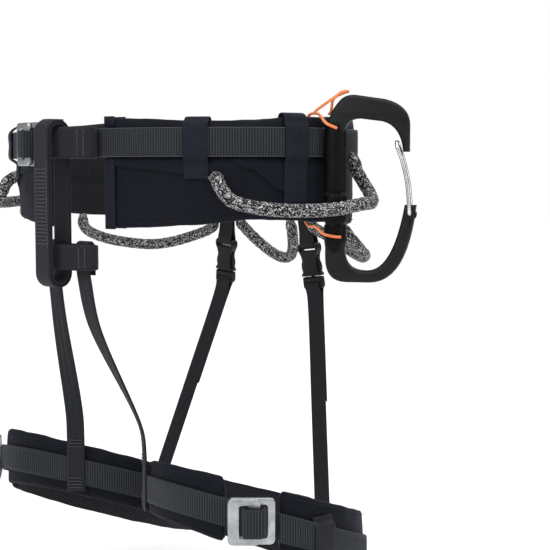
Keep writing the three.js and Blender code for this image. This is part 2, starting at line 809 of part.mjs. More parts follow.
const harness = new THREE.Group();
harness.add(waistShell(), waistFoam(), waistWebbing(), waistTail(), waistBuckle());
for (const [side, label] of SIDES) {
  const frontLayers = side === RIGHT ? 2 : 1; // the tail passes under the right front keeper
  harness.add(
    waistKeeper(side, `waist_keeper_front_${label}`, -53.3, -45.9, -6, frontLayers),
    waistKeeper(side, `waist_keeper_hip_${label}`, -21.6, -12.7, -22, 1),
    bridgeStrap(side, label),
    legPad(side, label),
    legWebbing(side, label),
    legTail(side, label),
    legKeeper(side, label),
    legBuckle(side, label),
    riser(side, label),
    gearLoop(`gear_loop_front_${label}`, side, FRONT_LOOP, 32),
    gearLoop(`gear_loop_rear_${label}`, side, REAR_LOOP, 28),
  );
}
harness.add(
  tieInRing('tie_in_ring_upper', UPPER_RING),
  tieInRing('tie_in_ring_lower', LOWER_RING),
  belayLoop(),
  backGearLoop(),
  carrier(),
  carrierCord(),
  carrierCordLoop(),
);

export default harness;
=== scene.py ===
"""Looks of the climbing harness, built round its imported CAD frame.

Lengths are millimetres in the CAD's own frame: +Z is up, -Y the wearer's front and +X the
wearer's left. MM turns them into Blender's metres when a mesh is made.
"""
import math

import bpy
import numpy as np
from mathutils import Matrix, Vector, noise


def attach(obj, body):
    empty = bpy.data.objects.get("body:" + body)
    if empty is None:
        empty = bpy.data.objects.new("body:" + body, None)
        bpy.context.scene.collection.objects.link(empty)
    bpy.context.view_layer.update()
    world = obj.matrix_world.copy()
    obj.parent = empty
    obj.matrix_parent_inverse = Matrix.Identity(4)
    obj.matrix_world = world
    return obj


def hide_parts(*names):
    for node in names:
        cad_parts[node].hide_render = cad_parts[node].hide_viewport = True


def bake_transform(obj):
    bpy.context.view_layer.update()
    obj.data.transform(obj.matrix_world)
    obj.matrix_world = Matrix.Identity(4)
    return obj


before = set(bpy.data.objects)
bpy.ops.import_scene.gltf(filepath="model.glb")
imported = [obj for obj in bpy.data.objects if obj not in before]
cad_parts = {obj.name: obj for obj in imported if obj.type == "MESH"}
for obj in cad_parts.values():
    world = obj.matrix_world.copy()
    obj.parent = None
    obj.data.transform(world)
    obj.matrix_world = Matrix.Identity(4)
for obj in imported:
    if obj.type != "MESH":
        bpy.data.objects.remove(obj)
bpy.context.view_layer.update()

# ------------------------------------------------------------------ driving dimensions

MM = 0.001
LEFT, RIGHT = 1, -1
SIDES = ((LEFT, "left"), (RIGHT, "right"))
UP = Vector((0, 0, 1))

WAIST_HALF_WIDTH = 150
WAIST_HALF_DEPTH = 105
WAIST_END = -78
PAD_THICKNESS = 12
# Degrees away from the back, then the belt's bottom and top there.
BELT_EDGES = (
    (0, -41, 43),
    (60, -40, 41),
    (95, -36.6, 36.8),
    (108, -35, 36.8),
    (122, -34, 33.8),
    (143, -38, 34),
    (156, -40.3, 35.6),
    (168, -40.5, 36.6),
)
WEB_BOTTOM, WEB_TOP = 9, 29
WEB_MIDDLE = (WEB_BOTTOM + WEB_TOP) / 2
WEB_FROM, WEB_TO = -108, 246
TAIL_LIFT, TAIL_THICKNESS = 2.65, 2.0
WEB_WIDTH = 20
WEB_IN, WEB_THICKNESS = 0.35, 2.1
RIB_PITCH, RIB_DEPTH = 1.9, 0.32
SELVEDGE_RADIUS = 0.33
HEM_IN = 3.5
KEEPER_LIFT, KEEPER_THICKNESS = 2.55, 1.2
# First and last angle, and the height of the lower end.
FRONT_KEEPER = (-53.3, -45.9, -6)
HIP_KEEPER = (-21.6, -12.7, -22)
YOKE_FROM, YOKE_TO = -76.5, -35.6
HIP_FROM, HIP_TO = -41, -2
# Angle and height of the sewn-on layers' lower edges.
YOKE_LINE = ((-77, 3), (-64, 0), (-54, -2.8), (-47, -6.7), (-40, -12.5), (-35.5, -20))
HIP_LINE = ((-42, 8), (-33.8, 0.7), (-22.3, -14.1), (-15.4, -23.8), (-9, -30), (-2, -33))

LEG_CENTRE = Vector((86, -8))
LEG_RADIUS = 80
LEG_THICKNESS = 10
LEG_PAD_FROM, LEG_PAD_TO = -36, 296
LEG_TOP_MEAN, LEG_TILT = -233.5, 28.5
LEG_HEIGHT, LEG_HEIGHT_SWING = 49, 6
LEG_BUCKLE_ANGLE = -50
WAIST_BUCKLE_ANGLE = -70
BUCKLE_SIZE, BUCKLE_THICKNESS, OUTER_PLATE_THICKNESS = 32, 3, 2.6
BUCKLE_SLOT_HALF = 11
BUCKLE_LIFT = WEB_IN + KEEPER_LIFT
BRIDGE_FOOT, BRIDGE_WIDTH, BRIDGE_THICKNESS = -125, 14, 1.8
LEG_KEEPER_ANGLE, LEG_KEEPER_WIDTH = -14, 16

RISER_TOP = Vector((43.5, 100, -36))
RISER_KNEE = Vector((50.4, 104.8, -96.6))
RISER_FOOT = Vector((90, 65.8, -260.6))
RISER_WIDTH, RISER_THICKNESS = 15, 1.4
BEND_FROM = 59
RISER_FOLD_END = 150

# Gear loops: angle round the belt, millimetres out from it, and height. The back loop's half
# has its angle from the middle of the back.
FRONT_LOOP = (
    (-42.6, 8, -9),
    (-39.2, 14, -19.5),
    (-33.3, 21, -24.3),
    (-23.7, 25, -26.7),
    (-10, 25, -26.3),
    (2, 23.5, -23.3),
    (10.2, 21, -22),
    (13.4, 16.5, -16.5),
    (13, 11.5, -8),
    (12.5, 7, 0),
    (12.5, 5.6, 5.5),
)
REAR_LOOP = (
    (68, -2.5, -44.8),
    (67.3, 1.2, -48.2),
    (64.8, 5, -51.8),
    (59.3, 8, -57),
    (49.4, 10, -64),
    (41.9, 10.5, -66),
    (30.3, 8, -63),
    (23.7, 6, -59.5),
    (17, 4, -53.5),
    (14, 0.8, -48),
    (13, -2.5, -42.1),
)
BACK_LOOP_HALF = (
    (11, -3, -44.9),
    (10.3, 0, -48.6),
    (8.8, 4.5, -55),
    (6.2, 12, -64.5),
    (3, 18.5, -72.5),
    (0, 20.5, -75),
)
GEAR_TUBE_RADIUS = 4.6
PINCH_STEPS = 7
FRINGE_ANGLE = -43.5

CARRIER_STEM = Vector((160.5, -8.5, 0))
CARRIER_HEADING = 29
CARRIER_TURN = Matrix.Rotation(math.radians(CARRIER_HEADING), 3, "Z")
CARRIER_THICKNESS = 9
GATE_PIVOT, GATE_WIRE_RADIUS = (51.5, -30), 1.3
ELASTIC_RADIUS = 1.0

RING_BACK, RING_FRONT, RING_HALF_WIDTH, RING_THICKNESS = -107.9, -126, 30, 3
BELAY_CENTRE_Y, BELAY_TOP, BELAY_BOTTOM = -125, 25, -72
BELAY_WIDTH, BELAY_THICKNESS, BELAY_GAP = 16, 4, 13

FILL_FRAMES = 20
# Settings of the cloth simulation that fills the pads.
FILLING = {
    "quality": 6,
    "mass": 0.2,
    "tension_stiffness": 12,
    "compression_stiffness": 12,
    "shear_stiffness": 4,
    "bending_stiffness": 0.4,
    "use_pressure": True,
    "uniform_pressure_force": 4,
    "vertex_group_mass": "held",
}

VIEW_TURN, VIEW_DIP, VIEW_LENS = 41, 4.93, 79.6
VIEW_SHIFT, VIEW_DISTANCE = 74, 950
# In metres.
FLOOR_HALF, FLOOR_HEIGHT = 12.0, -0.36
AMBIENT = 0.4
CLOTH_GLOSS = 0.12
WEB_TINT = (0.8, 0.85, 0.9, 1)


# ------------------------------------------------------------------ material nodes


class Look:
    """A procedural material and the record's slot that it belongs to."""

    def __init__(self, name, slot, roughness, metallic=0.0, **shader):
        self.slot = slot
        self.material = bpy.data.materials.new(name)
        self.material.use_nodes = True
        self.tree = self.material.node_tree
        self.shader = self.tree.nodes["Principled BSDF"]
        self.shader.inputs["Roughness"].default_value = roughness
        self.shader.inputs["Metallic"].default_value = metallic
        for socket, value in shader.items():
            self.shader.inputs[socket.replace("_", " ")].default_value = value

    def node(self, kind, inputs, **settings):
        made = self.tree.nodes.new(kind)
        for key, value in settings.items():
            setattr(made, key, value)
        for key, value in inputs.items():
            self.put(made.inputs[key], value)
        return made

    def put(self, socket, value):
        if isinstance(value, bpy.types.NodeSocket):
            self.tree.links.new(value, socket)
        else:
            socket.default_value = value

    def math(self, operation, a, b=0.0):
        return self.node("ShaderNodeMath", {0: a, 1: b}, operation=operation).outputs[0]

    def times(self, a, b):
        return self.math("MULTIPLY", a, b)

    def plus(self, a, b):
        return self.math("ADD", a, b)

    def flat(self):
        """The cloth's own millimetres: along the piece and around it."""
        uv = self.node("ShaderNodeUVMap", {}, uv_map="flat").outputs["UV"]
        split = self.node("ShaderNodeSeparateXYZ", {"Vector": uv})
        return split.outputs["X"], split.outputs["Y"]

    def space(self, stretch=(1, 1, 1)):
        """The object's own place in millimetres, stretched along its axes."""
        place = self.node("ShaderNodeTexCoord", {}).outputs["Object"]
        scale = [1000 * value for value in stretch]
        return self.node(
            "ShaderNodeVectorMath", {0: place, 1: scale}, operation="MULTIPLY"
        ).outputs["Vector"]

    def vector(self, x, y):
        return self.node("ShaderNodeCombineXYZ", {"X": x, "Y": y}).outputs["Vector"]

    def wave(self, value, pitch):
        """A sine of this pitch, from -1 to 1."""
        return self.math("SINE", self.times(value, 2 * math.pi / pitch))

    def noise(self, vector, size, detail=2.0, roughness=0.5):
        made = self.node(
            "ShaderNodeTexNoise",
            {"Vector": vector, "Scale": 1 / size, "Detail": detail, "Roughness": roughness},
        )
        return made.outputs["Fac"]

    def ramp(self, value, stops, interpolation="LINEAR"):
        made = self.node("ShaderNodeValToRGB", {"Fac": value})
        ramp = made.color_ramp
        ramp.interpolation = interpolation
        while len(ramp.elements) < len(stops):
            ramp.elements.new(0.5)
        for element, (position, colour) in zip(ramp.elements, stops):
            element.position = position
            element.color = (*colour, 1)
        return made.outputs["Color"]

    def colour(self, value):
        self.put(self.shader.inputs["Base Color"], value)

    def tones(self, value, base, *stops):
        """Shades of one colour, from (position, factor) stops."""
        self.colour(self.ramp(value, [(at, shade(base, factor)) for at, factor in stops]))

    def roughness(self, value, low, high):
        made = self.node("ShaderNodeMapRange", {"Value": value, "To Min": low, "To Max": high})
        self.put(self.shader.inputs["Roughness"], made.outputs["Result"])

    def bump(self, height, depth, strength):
        """Adds relief of this depth in millimetres over what is there already."""
        before = self.shader.inputs["Normal"].links
        inputs = {"Height": height, "Distance": depth * MM, "Strength": strength}
        if before:
            inputs["Normal"] = before[0].from_socket
        made = self.node("ShaderNodeBump", inputs)
        self.put(self.shader.inputs["Normal"], made.outputs["Normal"])


def shade(colour, factor):
    return tuple(channel * factor for channel in colour)


def cloth(name, roughness, sheen, spread, gloss=CLOTH_GLOSS, **shader):
    """A Look for cloth, in the slot of the same name."""
    return Look(
        name, name, roughness, Specular_IOR_Level=gloss,
        Sheen_Weight=sheen, Sheen_Roughness=spread, **shader,
    )


def plain_weave(look, pitch):
    """Over-and-under threads, from -1 to 1."""
    u, v = look.flat()
    return look.times(look.wave(u, pitch), look.wave(v, pitch))


def twill(look, pitch, slope=1.0):
    u, v = look.flat()
    return look.wave(look.plus(u, look.times(v, slope)), pitch)


def shell_fabric():
    """Tight woven face cloth, embossed with small lozenges."""
    base = (0.0031, 0.0041, 0.0076)
    look = cloth("shell_fabric", 0.72, 0.05, 0.45, Sheen_Tint=(0.55, 0.6, 0.8, 1))
    cloud = look.noise(look.space(), 9, 4, 0.6)
    look.tones(cloud, base, (0.3, 0.75), (0.7, 1.3))
    u, v = look.flat()
    rise = look.wave(look.plus(u, v), 5.2)
    fall = look.wave(look.math("SUBTRACT", u, v), 5.2)
    look.bump(look.times(rise, fall), 0.12, 0.55)
    look.bump(plain_weave(look, 0.9), 0.05, 0.6)
    look.bump(cloud, 0.5, 0.35)
    look.roughness(cloud, 0.66, 0.84)
    return look


def pad_mesh():
    """Spacer mesh: an even net of small round openings."""
    look = cloth("pad_mesh", 0.85, 0.05, 0.5)
    u, v = look.flat()
    row = look.times(look.wave(u, 3.4), look.wave(v, 3.4))
    stops = ((0.05, (0.016, 0.0165, 0.020)), (0.6, (0.0025, 0.0025, 0.0035)))
    look.colour(look.ramp(row, stops))
    look.bump(row, -0.5, 0.9)
    look.bump(twill(look, 0.8), 0.05, 0.5)
    return look


def ribbed_webbing():
    base = (0.0155, 0.0170, 0.0195)
    look = cloth("ribbed_webbing", 0.62, 0.08, 0.35, Sheen_Tint=WEB_TINT)
    u, v = look.flat()
    # rib is lowest in the grooves and highest on the crests, and the colour follows it: painted
    # shade in the rib grooves and a painted highlight on the rib crests, over the yarn's own random
    # flecks.
    rib = look.math("ABSOLUTE", look.math("SINE", look.times(u, math.pi / RIB_PITCH)))
    fleck = look.noise(look.vector(look.times(u, 0.6), v), 0.7, 3, 0.7)
    tone = look.plus(look.times(rib, 0.62), look.times(fleck, 0.5))
    look.tones(tone, base, (0.2, 0.15), (0.62, 0.9), (0.98, 2.6))
    look.bump(twill(look, 0.75, 0.6), 0.08, 0.8)
    look.bump(fleck, 0.15, 0.5)
    return look


def tape():
    """Flat nylon binding tape with a fine herringbone."""
    base = (0.0072, 0.0083, 0.0142)
    look = cloth("tape", 0.7, 0.06, 0.4, Sheen_Tint=(0.6, 0.65, 0.8, 1))
    cloud = look.noise(look.space(), 6, 3, 0.6)
    look.tones(cloud, base, (0.3, 0.85), (0.7, 1.25))
    u, v = look.flat()
    zigzag = look.math("ABSOLUTE", look.wave(v, 5))
    herring = look.wave(look.plus(u, look.times(zigzag, 1.2)), 0.9)
    look.bump(herring, 0.06, 0.7)
    look.bump(cloud, 0.3, 0.3)
    return look


def tie_in_webbing():
    """Dense load webbing with a chevron weave."""
    base = (0.0135, 0.0145, 0.0175)
    look = cloth("tie_in_webbing", 0.6, 0.08, 0.35, Sheen_Tint=WEB_TINT)
    u, v = look.flat()
    fold = look.math("PINGPONG", v, 2.2)
    chevron = look.wave(look.plus(u, fold), 1.3)
    fleck = look.noise(look.vector(u, v), 0.6, 2, 0.6)
    tone = look.plus(look.times(chevron, 0.22), fleck)
    look.tones(tone, base, (0.2, 0.35), (0.55, 1), (0.85, 2.2))
    look.bump(chevron, 0.14, 0.9)
    look.bump(fleck, 0.12, 0.5)
    return look


def elastic_webbing():
    base = (0.0058, 0.0065, 0.0088)
    look = cloth("elastic_webbing", 0.6, 0.06, 0.4, 0.2, Sheen_Tint=(0.7, 0.75, 0.85, 1))
    u, v = look.flat()
    fleck = look.noise(look.vector(u, v), 1.1, 3, 0.6)
    look.tones(fleck, base, (0.3, 0.7), (0.72, 1.7))
    look.bump(look.wave(v, 1.25), 0.10, 0.8)
    look.bump(look.wave(u, 0.8), 0.05, 0.6)
    return look


def loop_sleeve():
    """Knitted cover of black, grey and white yarn over a plastic tube."""
    look = cloth("loop_sleeve", 0.8, 0.08, 0.4)
    u, v = look.flat()
    lean = look.times(look.math("PINGPONG", v, 1.7), 0.9)
    stitch = look.vector(look.times(look.plus(u, lean), 0.62), look.times(v, 1.15))
    cell = look.node(
        "ShaderNodeTexVoronoi", {"Vector": stitch, "Scale": 2.1, "Randomness": 0.9}
    )
    tone = look.node("ShaderNodeSeparateColor", {"Color": cell.outputs["Color"]})
    stops = (
        (0.0, (0.005, 0.005, 0.006)),
        (0.44, (0.022, 0.022, 0.024)),
        (0.58, (0.10, 0.10, 0.105)),
        (0.70, (0.27, 0.27, 0.275)),
        (0.87, (0.52, 0.52, 0.52)),
    )
    look.colour(look.ramp(tone.outputs["Red"], stops, "CONSTANT"))
    look.bump(cell.outputs["Distance"], -0.35, 0.9)
    look.bump(look.noise(look.vector(u, v), 0.35, 2, 0.7), 0.12, 0.6)
    return look


def black_plastic(name, gloss, shift):
    """Moulded nylon with a fine spark texture, scuffed a little paler here and there."""
    look = Look(name, "black_plastic", 0.42, Specular_IOR_Level=gloss)
    place = look.space()
    grain = look.noise(place, 0.45, 2, 0.6)
    scuff = look.noise(place, 7, 5, 0.65)
    # shift scales every colour stop. The stem's copy sets it below 1 to paint shade.
    stops = (
        (0.35, shade((0.0030, 0.0034, 0.0037), shift)),
        (0.62, shade((0.0050, 0.0055, 0.0060), shift)),
        (0.85, shade((0.0140, 0.0145, 0.0155), shift)),
    )
    look.colour(look.ramp(scuff, stops))
    look.roughness(scuff, 0.34, 0.56)
    look.bump(grain, 0.05, 0.5)
    return look


def brushed_metal(name, roughness, brush, size, rub_size, dull, bright, polish, relief):
    """Metal brushed along the strap and rubbed brighter in patches."""
    look = Look(name, name, roughness, metallic=1.0)
    grain = look.noise(look.space((1, 1, brush)), *size)
    rub = look.noise(look.space(), *rub_size, 0.6)
    look.colour(look.ramp(rub, ((0.3, dull), (0.7, bright))))
    look.roughness(grain, *polish)
    look.bump(grain, *relief)
    return look


def orange_elastic():
    """Braided cover: two families of strands that cross."""
    look = Look("orange_elastic", "orange_elastic", 0.55, Sheen_Weight=0.3)
    braid = look.times(twill(look, 1.4, 0.9), twill(look, 1.4, -0.9))
    # The colour follows the braid: paler strand crests are a painted highlight and darker dips
    # between strands are painted shade, over the cord's orange.
    stops = ((0.15, (0.55, 0.07, 0.012)), (0.55, (0.92, 0.20, 0.04)), (0.95, (1.0, 0.42, 0.12)))
    look.colour(look.ramp(look.plus(look.times(braid, 0.5), 0.5), stops))
    look.bump(braid, 0.12, 0.8)
    return look


def thread(name, slot, base):
    """Twisted sewing thread."""
    look = Look(name, slot, 0.55, Specular_IOR_Level=CLOTH_GLOSS, Sheen_Weight=0.08)
    ply = twill(look, 0.5, 1.3)
    lay = look.plus(look.times(ply, 0.5), 0.5)
    look.tones(lay, base, (0.1, 0.5), (0.9, 1.4))
    look.bump(ply, 0.06, 0.8)
    return look


SHELL = shell_fabric()
LINING = pad_mesh()
RIBBED = ribbed_webbing()
TAPE = tape()
TIE_IN = tie_in_webbing()
ELASTIC = elastic_webbing()
SLEEVE = loop_sleeve()
PLASTIC = black_plastic("black_plastic", 0.2, 1.0)
# A darker copy of the same black plastic, its colour scaled to 0.4 and its gloss lowered: painted
# shade on the carrier's stem.
STEM_PLASTIC_SHADED = black_plastic("stem_plastic_painted_shade", 0.1, 0.4)
METAL = brushed_metal(
    "buckle_metal", 0.34, 14, (2.4, 4, 0.7), (9, 4),
    (0.25, 0.26, 0.28), (0.46, 0.47, 0.49), (0.26, 0.46), (0.03, 0.5),
)
STEEL = brushed_metal(
    "gate_steel", 0.2, 6, (1.6, 3, 0.6), (6, 3),
    (0.55, 0.56, 0.58), (0.72, 0.73, 0.75), (0.14, 0.3), (0.02, 0.4),
)
ORANGE = orange_elastic()
DARK_THREAD = thread("dark_thread", "tape", (0.0068, 0.0076, 0.0115))
GREY_THREAD = thread("grey_thread", "tie_in_webbing", (0.085, 0.088, 0.094))
SELVEDGE = thread("selvedge_yarn", "ribbed_webbing", (0.055, 0.057, 0.060))
PALE_YARN = thread("pale_yarn", "loop_sleeve", (0.32, 0.32, 0.33))


# ------------------------------------------------------------------ mesh helpers


def add_object(name, data):
    made = bpy.data.objects.new(name, data)
    bpy.context.scene.collection.objects.link(made)
    return made


def add_piece(name, points, faces, uvs, look, body="root"):
    """Makes a mesh from millimetre points. uvs holds one pair for each corner of each face."""
    mesh = bpy.data.meshes.new(name)
    mesh.from_pydata((np.asarray(points, float) * MM).tolist(), [], faces)
    layer = mesh.uv_layers.new(name="flat")
    layer.data.foreach_set("uv", np.asarray(uvs, np.float32).ravel())
    mesh.polygons.foreach_set("use_smooth", [True] * len(mesh.polygons))
    mesh.materials.append(look.material)
    mesh.update()
    piece = add_object(name, mesh)
    if body:
        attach(piece, body)
    return piece


def signed_volume(points, faces):
    total = 0.0
    for face in faces:
        a = points[face[0]]
        for b, c in zip(face[1:-1], face[2:]):
            total += np.dot(a, np.cross(points[b], points[c]))
    return total


def skin(rings, closed=False, ends="fan"):
    """Points, faces and corner UVs of a skin over a run of closed rings.

    ends is "fan" for a plump section, or "strip" for the outline of a thin bent tape, whose
    points pair up first with last.
    """
    rings = np.asarray(rings, float)
    total, count = rings.shape[:2]
    points = rings.reshape(-1, 3).tolist()
    middle = rings.mean(axis=1)
    along = [0.0, *np.cumsum(np.linalg.norm(np.roll(middle, -1, 0) - middle, axis=1))]
    sides = np.linalg.norm(np.roll(rings[0], -1, 0) - rings[0], axis=1)
    around = [0.0, *np.cumsum(sides)]
    faces, uvs = [], []
    for i in range(total if closed else total - 1):
        k = (i + 1) % total
        for j in range(count):
            m = (j + 1) % count
            faces.append((i * count + j, i * count + m, k * count + m, k * count + j))
            uvs += [
                (along[i], around[j]),
                (along[i], around[j + 1]),
                (along[i + 1], around[j + 1]),
                (along[i + 1], around[j]),
            ]
    if not closed:
        for ring, flip in ((0, True), (total - 1, False)):
            base = ring * count
            caps = end_faces(count, ends, base, len(points))
            if ends == "fan":
                points.append(middle[ring].tolist())
            for cap in caps:
                faces.append(tuple(reversed(cap)) if flip else cap)
                uvs += [(along[ring] + n, around[1] * n) for n in range(len(cap))]
    if signed_volume(np.asarray(points), faces) < 0:
        faces, uvs = turned(faces, uvs)
    return points, faces, uvs


def end_faces(count, ends, base, hub):
    if ends == "fan":
        return [(hub, base + j, base + (j + 1) % count) for j in range(count)]
    half = count // 2
    return [
        (base + j, base + j + 1, base + count - 2 - j, base + count - 1 - j)
        for j in range(half - 1)
    ]


def turned(faces, uvs):
    """The same faces the other way out."""
    new_faces, new_uvs, start = [], [], 0
    for face in faces:
        stop = start + len(face)
        new_faces.append(tuple(reversed(face)))
        new_uvs += list(reversed(uvs[start:stop]))
        start = stop
    return new_faces, new_uvs


def sweep(name, rings, look, body="root", closed=False, ends="fan"):
    return add_piece(name, *skin(rings, closed, ends), look, body)


def smooth_line(knots, pitch):
    """A centripetal Catmull-Rom line through the knots, sampled at about this pitch."""
    knots = [Vector(knot) for knot in knots]
    run = [2 * knots[0] - knots[1], *knots, 2 * knots[-1] - knots[-2]]
    line = []
    for p0, p1, p2, p3 in zip(run, run[1:], run[2:], run[3:]):
        t1 = (p1 - p0).length ** 0.5
        t2 = t1 + (p2 - p1).length ** 0.5
        t3 = t2 + (p3 - p2).length ** 0.5
        for step in range(12):
            t = t1 + (t2 - t1) * step / 12
            a1 = p0.lerp(p1, t / t1)
            a2 = p1.lerp(p2, (t - t1) / (t2 - t1))
            a3 = p2.lerp(p3, (t - t2) / (t3 - t2))
            b1 = a1.lerp(a2, t / t2)
            b2 = a2.lerp(a3, (t - t1) / (t3 - t1))
            line.append(b1.lerp(b2, (t - t1) / (t2 - t1)))
    line.append(knots[-1])
    return even_line(line, pitch)


def flat_line(route, pitch):
    """A smooth line through (x, y) points."""
    return smooth_line([(x, y, 0) for x, y in route], pitch)


def even_line(line, pitch, closed=False):
    """The same polyline with points at an even spacing."""
    points = np.array([*line, line[0]] if closed else line, float)
    length = np.concatenate(([0], np.cumsum(np.linalg.norm(np.diff(points, axis=0), axis=1))))
    count = max(2, round(length[-1] / pitch))
    wanted = np.linspace(0, length[-1], count + 1)[: count if closed else None]
    return [
        Vector(values)
        for values in zip(*(np.interp(wanted, length, column) for column in points.T))
    ]


def tangents(line, closed=False):
    last = len(line) - 1
    result = []
    for i in range(len(line)):
        before = line[i - 1] if closed or i else line[0]
        after = line[(i + 1) % len(line)] if closed or i < last else line[last]
        result.append((after - before).normalized())
    return result


def turns(count):
    """Even angles round a full circle."""
    return [2 * math.pi * j / count for j in range(count)]


def tube(name, line, radius, look, body, sides, radius_at=None):
    """A round tube whose frame is carried along without twist."""
    ways = tangents(line)
    side = ways[0].orthogonal().normalized()
    rings = []
    for i, (point, way) in enumerate(zip(line, ways)):
        side = (side - way * side.dot(way)).normalized()
        other = way.cross(side)
        reach = radius * (radius_at(i, len(line)) if radius_at else 1)
        rings.append([
            point + (side * math.cos(turn) + other * math.sin(turn)) * reach
            for turn in turns(sides)
        ])
    return sweep(name, rings, look, body)


def strap_outline(width, thickness, across):
    """Closed outline of (across, out), with half-round edges and out from 0 to thickness."""
    r = thickness / 2
    flat = width / 2 - r
    outline = [(x, thickness) for x in np.linspace(-flat, flat, across)]
    outline += [(flat + r * math.sin(a), r + r * math.cos(a)) for a in (0.8, 1.57, 2.35)]
    outline += [(x, 0.0) for x in np.linspace(flat, -flat, across)]
    outline += [(-flat - r * math.sin(a), r - r * math.cos(a)) for a in (0.8, 1.57, 2.35)]
    return outline


def strap(name, stations, outline, look, body="root", closed=False, relief=None):
    """Sweeps an outline along (point, across, outward) stations. relief(distance, across) is how
    far the outer face stands out there."""
    thickness = max(out for _, out in outline)
    rings, distance = [], 0.0
    for i, (point, across, outward) in enumerate(stations):
        if i:
            distance += (point - stations[i - 1][0]).length
        ring = []
        for x, out in outline:
            lift = relief(distance, x) if relief and out > 0.7 * thickness else 0
            ring.append(point + across * x + outward * (out + lift))
        rings.append(ring)
    return sweep(name, rings, look, body, closed)


def round_stations(line, across):
    """Stations round a closed line, facing away from its middle."""
    ways = tangents(line, closed=True)
    stations = [(p, across, way.cross(across).normalized()) for p, way in zip(line, ways)]
    middle = sum(line, Vector((0, 0, 0))) / len(line)
    if stations[0][2].dot(line[0] - middle) < 0:
        stations = [(p, a, -out) for p, a, out in stations]
    return stations


def ribbon(line, width, thickness, across, place, hand=1, relief=None, narrow=None):
    """Rings of a strap along a line in a plane of its own. Its outer face lies to the right of
    the run, or to the left where hand is -1. place(x, y, across) is where a point goes,
    relief(number, across) is how far the outer face stands out at that ring, and narrow(y) is
    the share of its width that is left there."""
    rings = []
    for number, (point, way) in enumerate(zip(line, tangents(line))):
        ring = []
        share = narrow(point.y) if narrow else 1
        for offset, height in strap_outline(width, thickness, across):
            lift = height - thickness / 2
            if relief and height > thickness * 2 / 3:
                lift += relief(number, offset)
            lift *= hand
            ring.append(place(point.x + way.y * lift, point.y - way.x * lift, offset * share))
        rings.append(ring)
    return rings


def rib_relief(distance, across):
    if abs(across) > WEB_WIDTH / 2 - 1.6:
        return RIB_DEPTH * 0.5
    return RIB_DEPTH * abs(math.sin(math.pi * distance / RIB_PITCH))


def stitch_rows(name, rows, look, body="root", length=2.2, gap=0.9, radius=0.28):
    """Raised stitches along rows of (point, outward) samples, all in one mesh."""
    points, faces, uvs = [], [], []
    pitch = length + gap
    for row in rows:
        spots = even_line([Vector((*p, *n)) for p, n in row], pitch)
        for spot, following in zip(spots, spots[1:]):
            start = Vector(spot[:3])
            way = (Vector(following[:3]) - start).normalized()
            outward = Vector(spot[3:]).normalized()
            add_stitch(points, faces, uvs, start, way * length, outward, radius)
    return add_piece(name, points, faces, uvs, look, body)


def tack(name, place, outward, across, runs, look=DARK_THREAD, length=1.5, gap=0.4, radius=0.3):
    """Rows of stitches across a strap. place(x, run) is a point of its face."""
    rows = [[(place(x, run), outward) for x in across] for run in runs]
    stitch_rows(name, rows, look, "root", length, gap, radius)


def add_stitch(points, faces, uvs, start, run, outward, radius):
    """One plump stitch, pulled in at both ends."""
    side = run.cross(outward).normalized()
    base, sides = len(points), 6
    shares = ((0.0, 0.35, -0.5), (0.25, 1.0, 0.35), (0.75, 1.0, 0.35), (1.0, 0.35, -0.5))
    for share, swell, lift in shares:
        centre = start + run * share + outward * radius * lift
        for turn in turns(sides):
            points.append(
                centre + (side * math.cos(turn) + outward * math.sin(turn)) * radius * swell
            )
    for i in range(3):
        for j in range(sides):
            m = (j + 1) % sides
            a, b = base + i * sides + j, base + i * sides + m
            faces.append((a, b, b + sides, a + sides))
            uvs += [(i, j), (i, j + 1), (i + 1, j + 1), (i + 1, j)]
    faces.append(tuple(base + j for j in reversed(range(sides))))
    faces.append(tuple(base + 3 * sides + j for j in range(sides)))
    uvs += [(0, 0)] * sides * 2


def plate(name, outline, holes, thickness, bevel, look, body, place):
    """A flat plate with rounded rims, from an outline and holes of (x, y) points. place turns
    its own (x, y, height) into the harness's frame."""
    curve = bpy.data.curves.new(name, "CURVE")
    curve.dimensions = "2D"
    curve.fill_mode = "BOTH"
    curve.extrude = (thickness / 2 - bevel) * MM
    curve.bevel_depth = bevel * MM
    curve.offset = -bevel * MM
    curve.bevel_resolution = 3
    for loop in (outline, *holes):
        spline = curve.splines.new("POLY")
        spline.points.add(len(loop) - 1)
        spline.use_cyclic_u = True
        for point, (x, y) in zip(spline.points, loop):
            point.co = (x * MM, y * MM, 0, 1)
    shaper = add_object(name + "_outline", curve)
    bpy.context.view_layer.update()
    depsgraph = bpy.context.evaluated_depsgraph_get()
    mesh = bpy.data.meshes.new_from_object(shaper.evaluated_get(depsgraph))
    bpy.data.objects.remove(shaper)
    bpy.data.curves.remove(curve)
    return placed_mesh(name, mesh, look, body, place, thickness)


def placed_mesh(name, mesh, look, body, place, thickness):
    """Puts a flat mesh in the harness's frame, welded, smooth and with flat UVs."""
    weld = 0.02 * MM
    merged, index = {}, []
    for vertex in mesh.vertices:
        key = tuple(round(c / weld) for c in vertex.co)
        index.append(merged.setdefault(key, len(merged)))
    flat_points = [None] * len(merged)
    for vertex, target in zip(mesh.vertices, index):
        flat_points[target] = vertex.co / MM
    faces = []
    for polygon in mesh.polygons:
        ring = [index[v] for v in polygon.vertices]
        ring = [v for n, v in enumerate(ring) if v != ring[n - 1]]
        if len(set(ring)) == len(ring) and len(ring) > 2:
            faces.append(tuple(ring))
    bpy.data.meshes.remove(mesh)
    points = [place(p.x, p.y, p.z + thickness / 2) for p in flat_points]
    uvs = [(flat_points[v].x, flat_points[v].y) for face in faces for v in face]
    if signed_volume(np.array([tuple(p) for p in points]), faces) < 0:
        faces, uvs = turned(faces, uvs)
    piece = add_piece(name, points, faces, uvs, look, body)
    piece.data.set_sharp_from_angle(angle=math.radians(50))
    return piece


def bend(start, control, end, t):
    """A point of the quadratic curve from start to end."""
    return start.lerp(control, t).lerp(control.lerp(end, t), t)


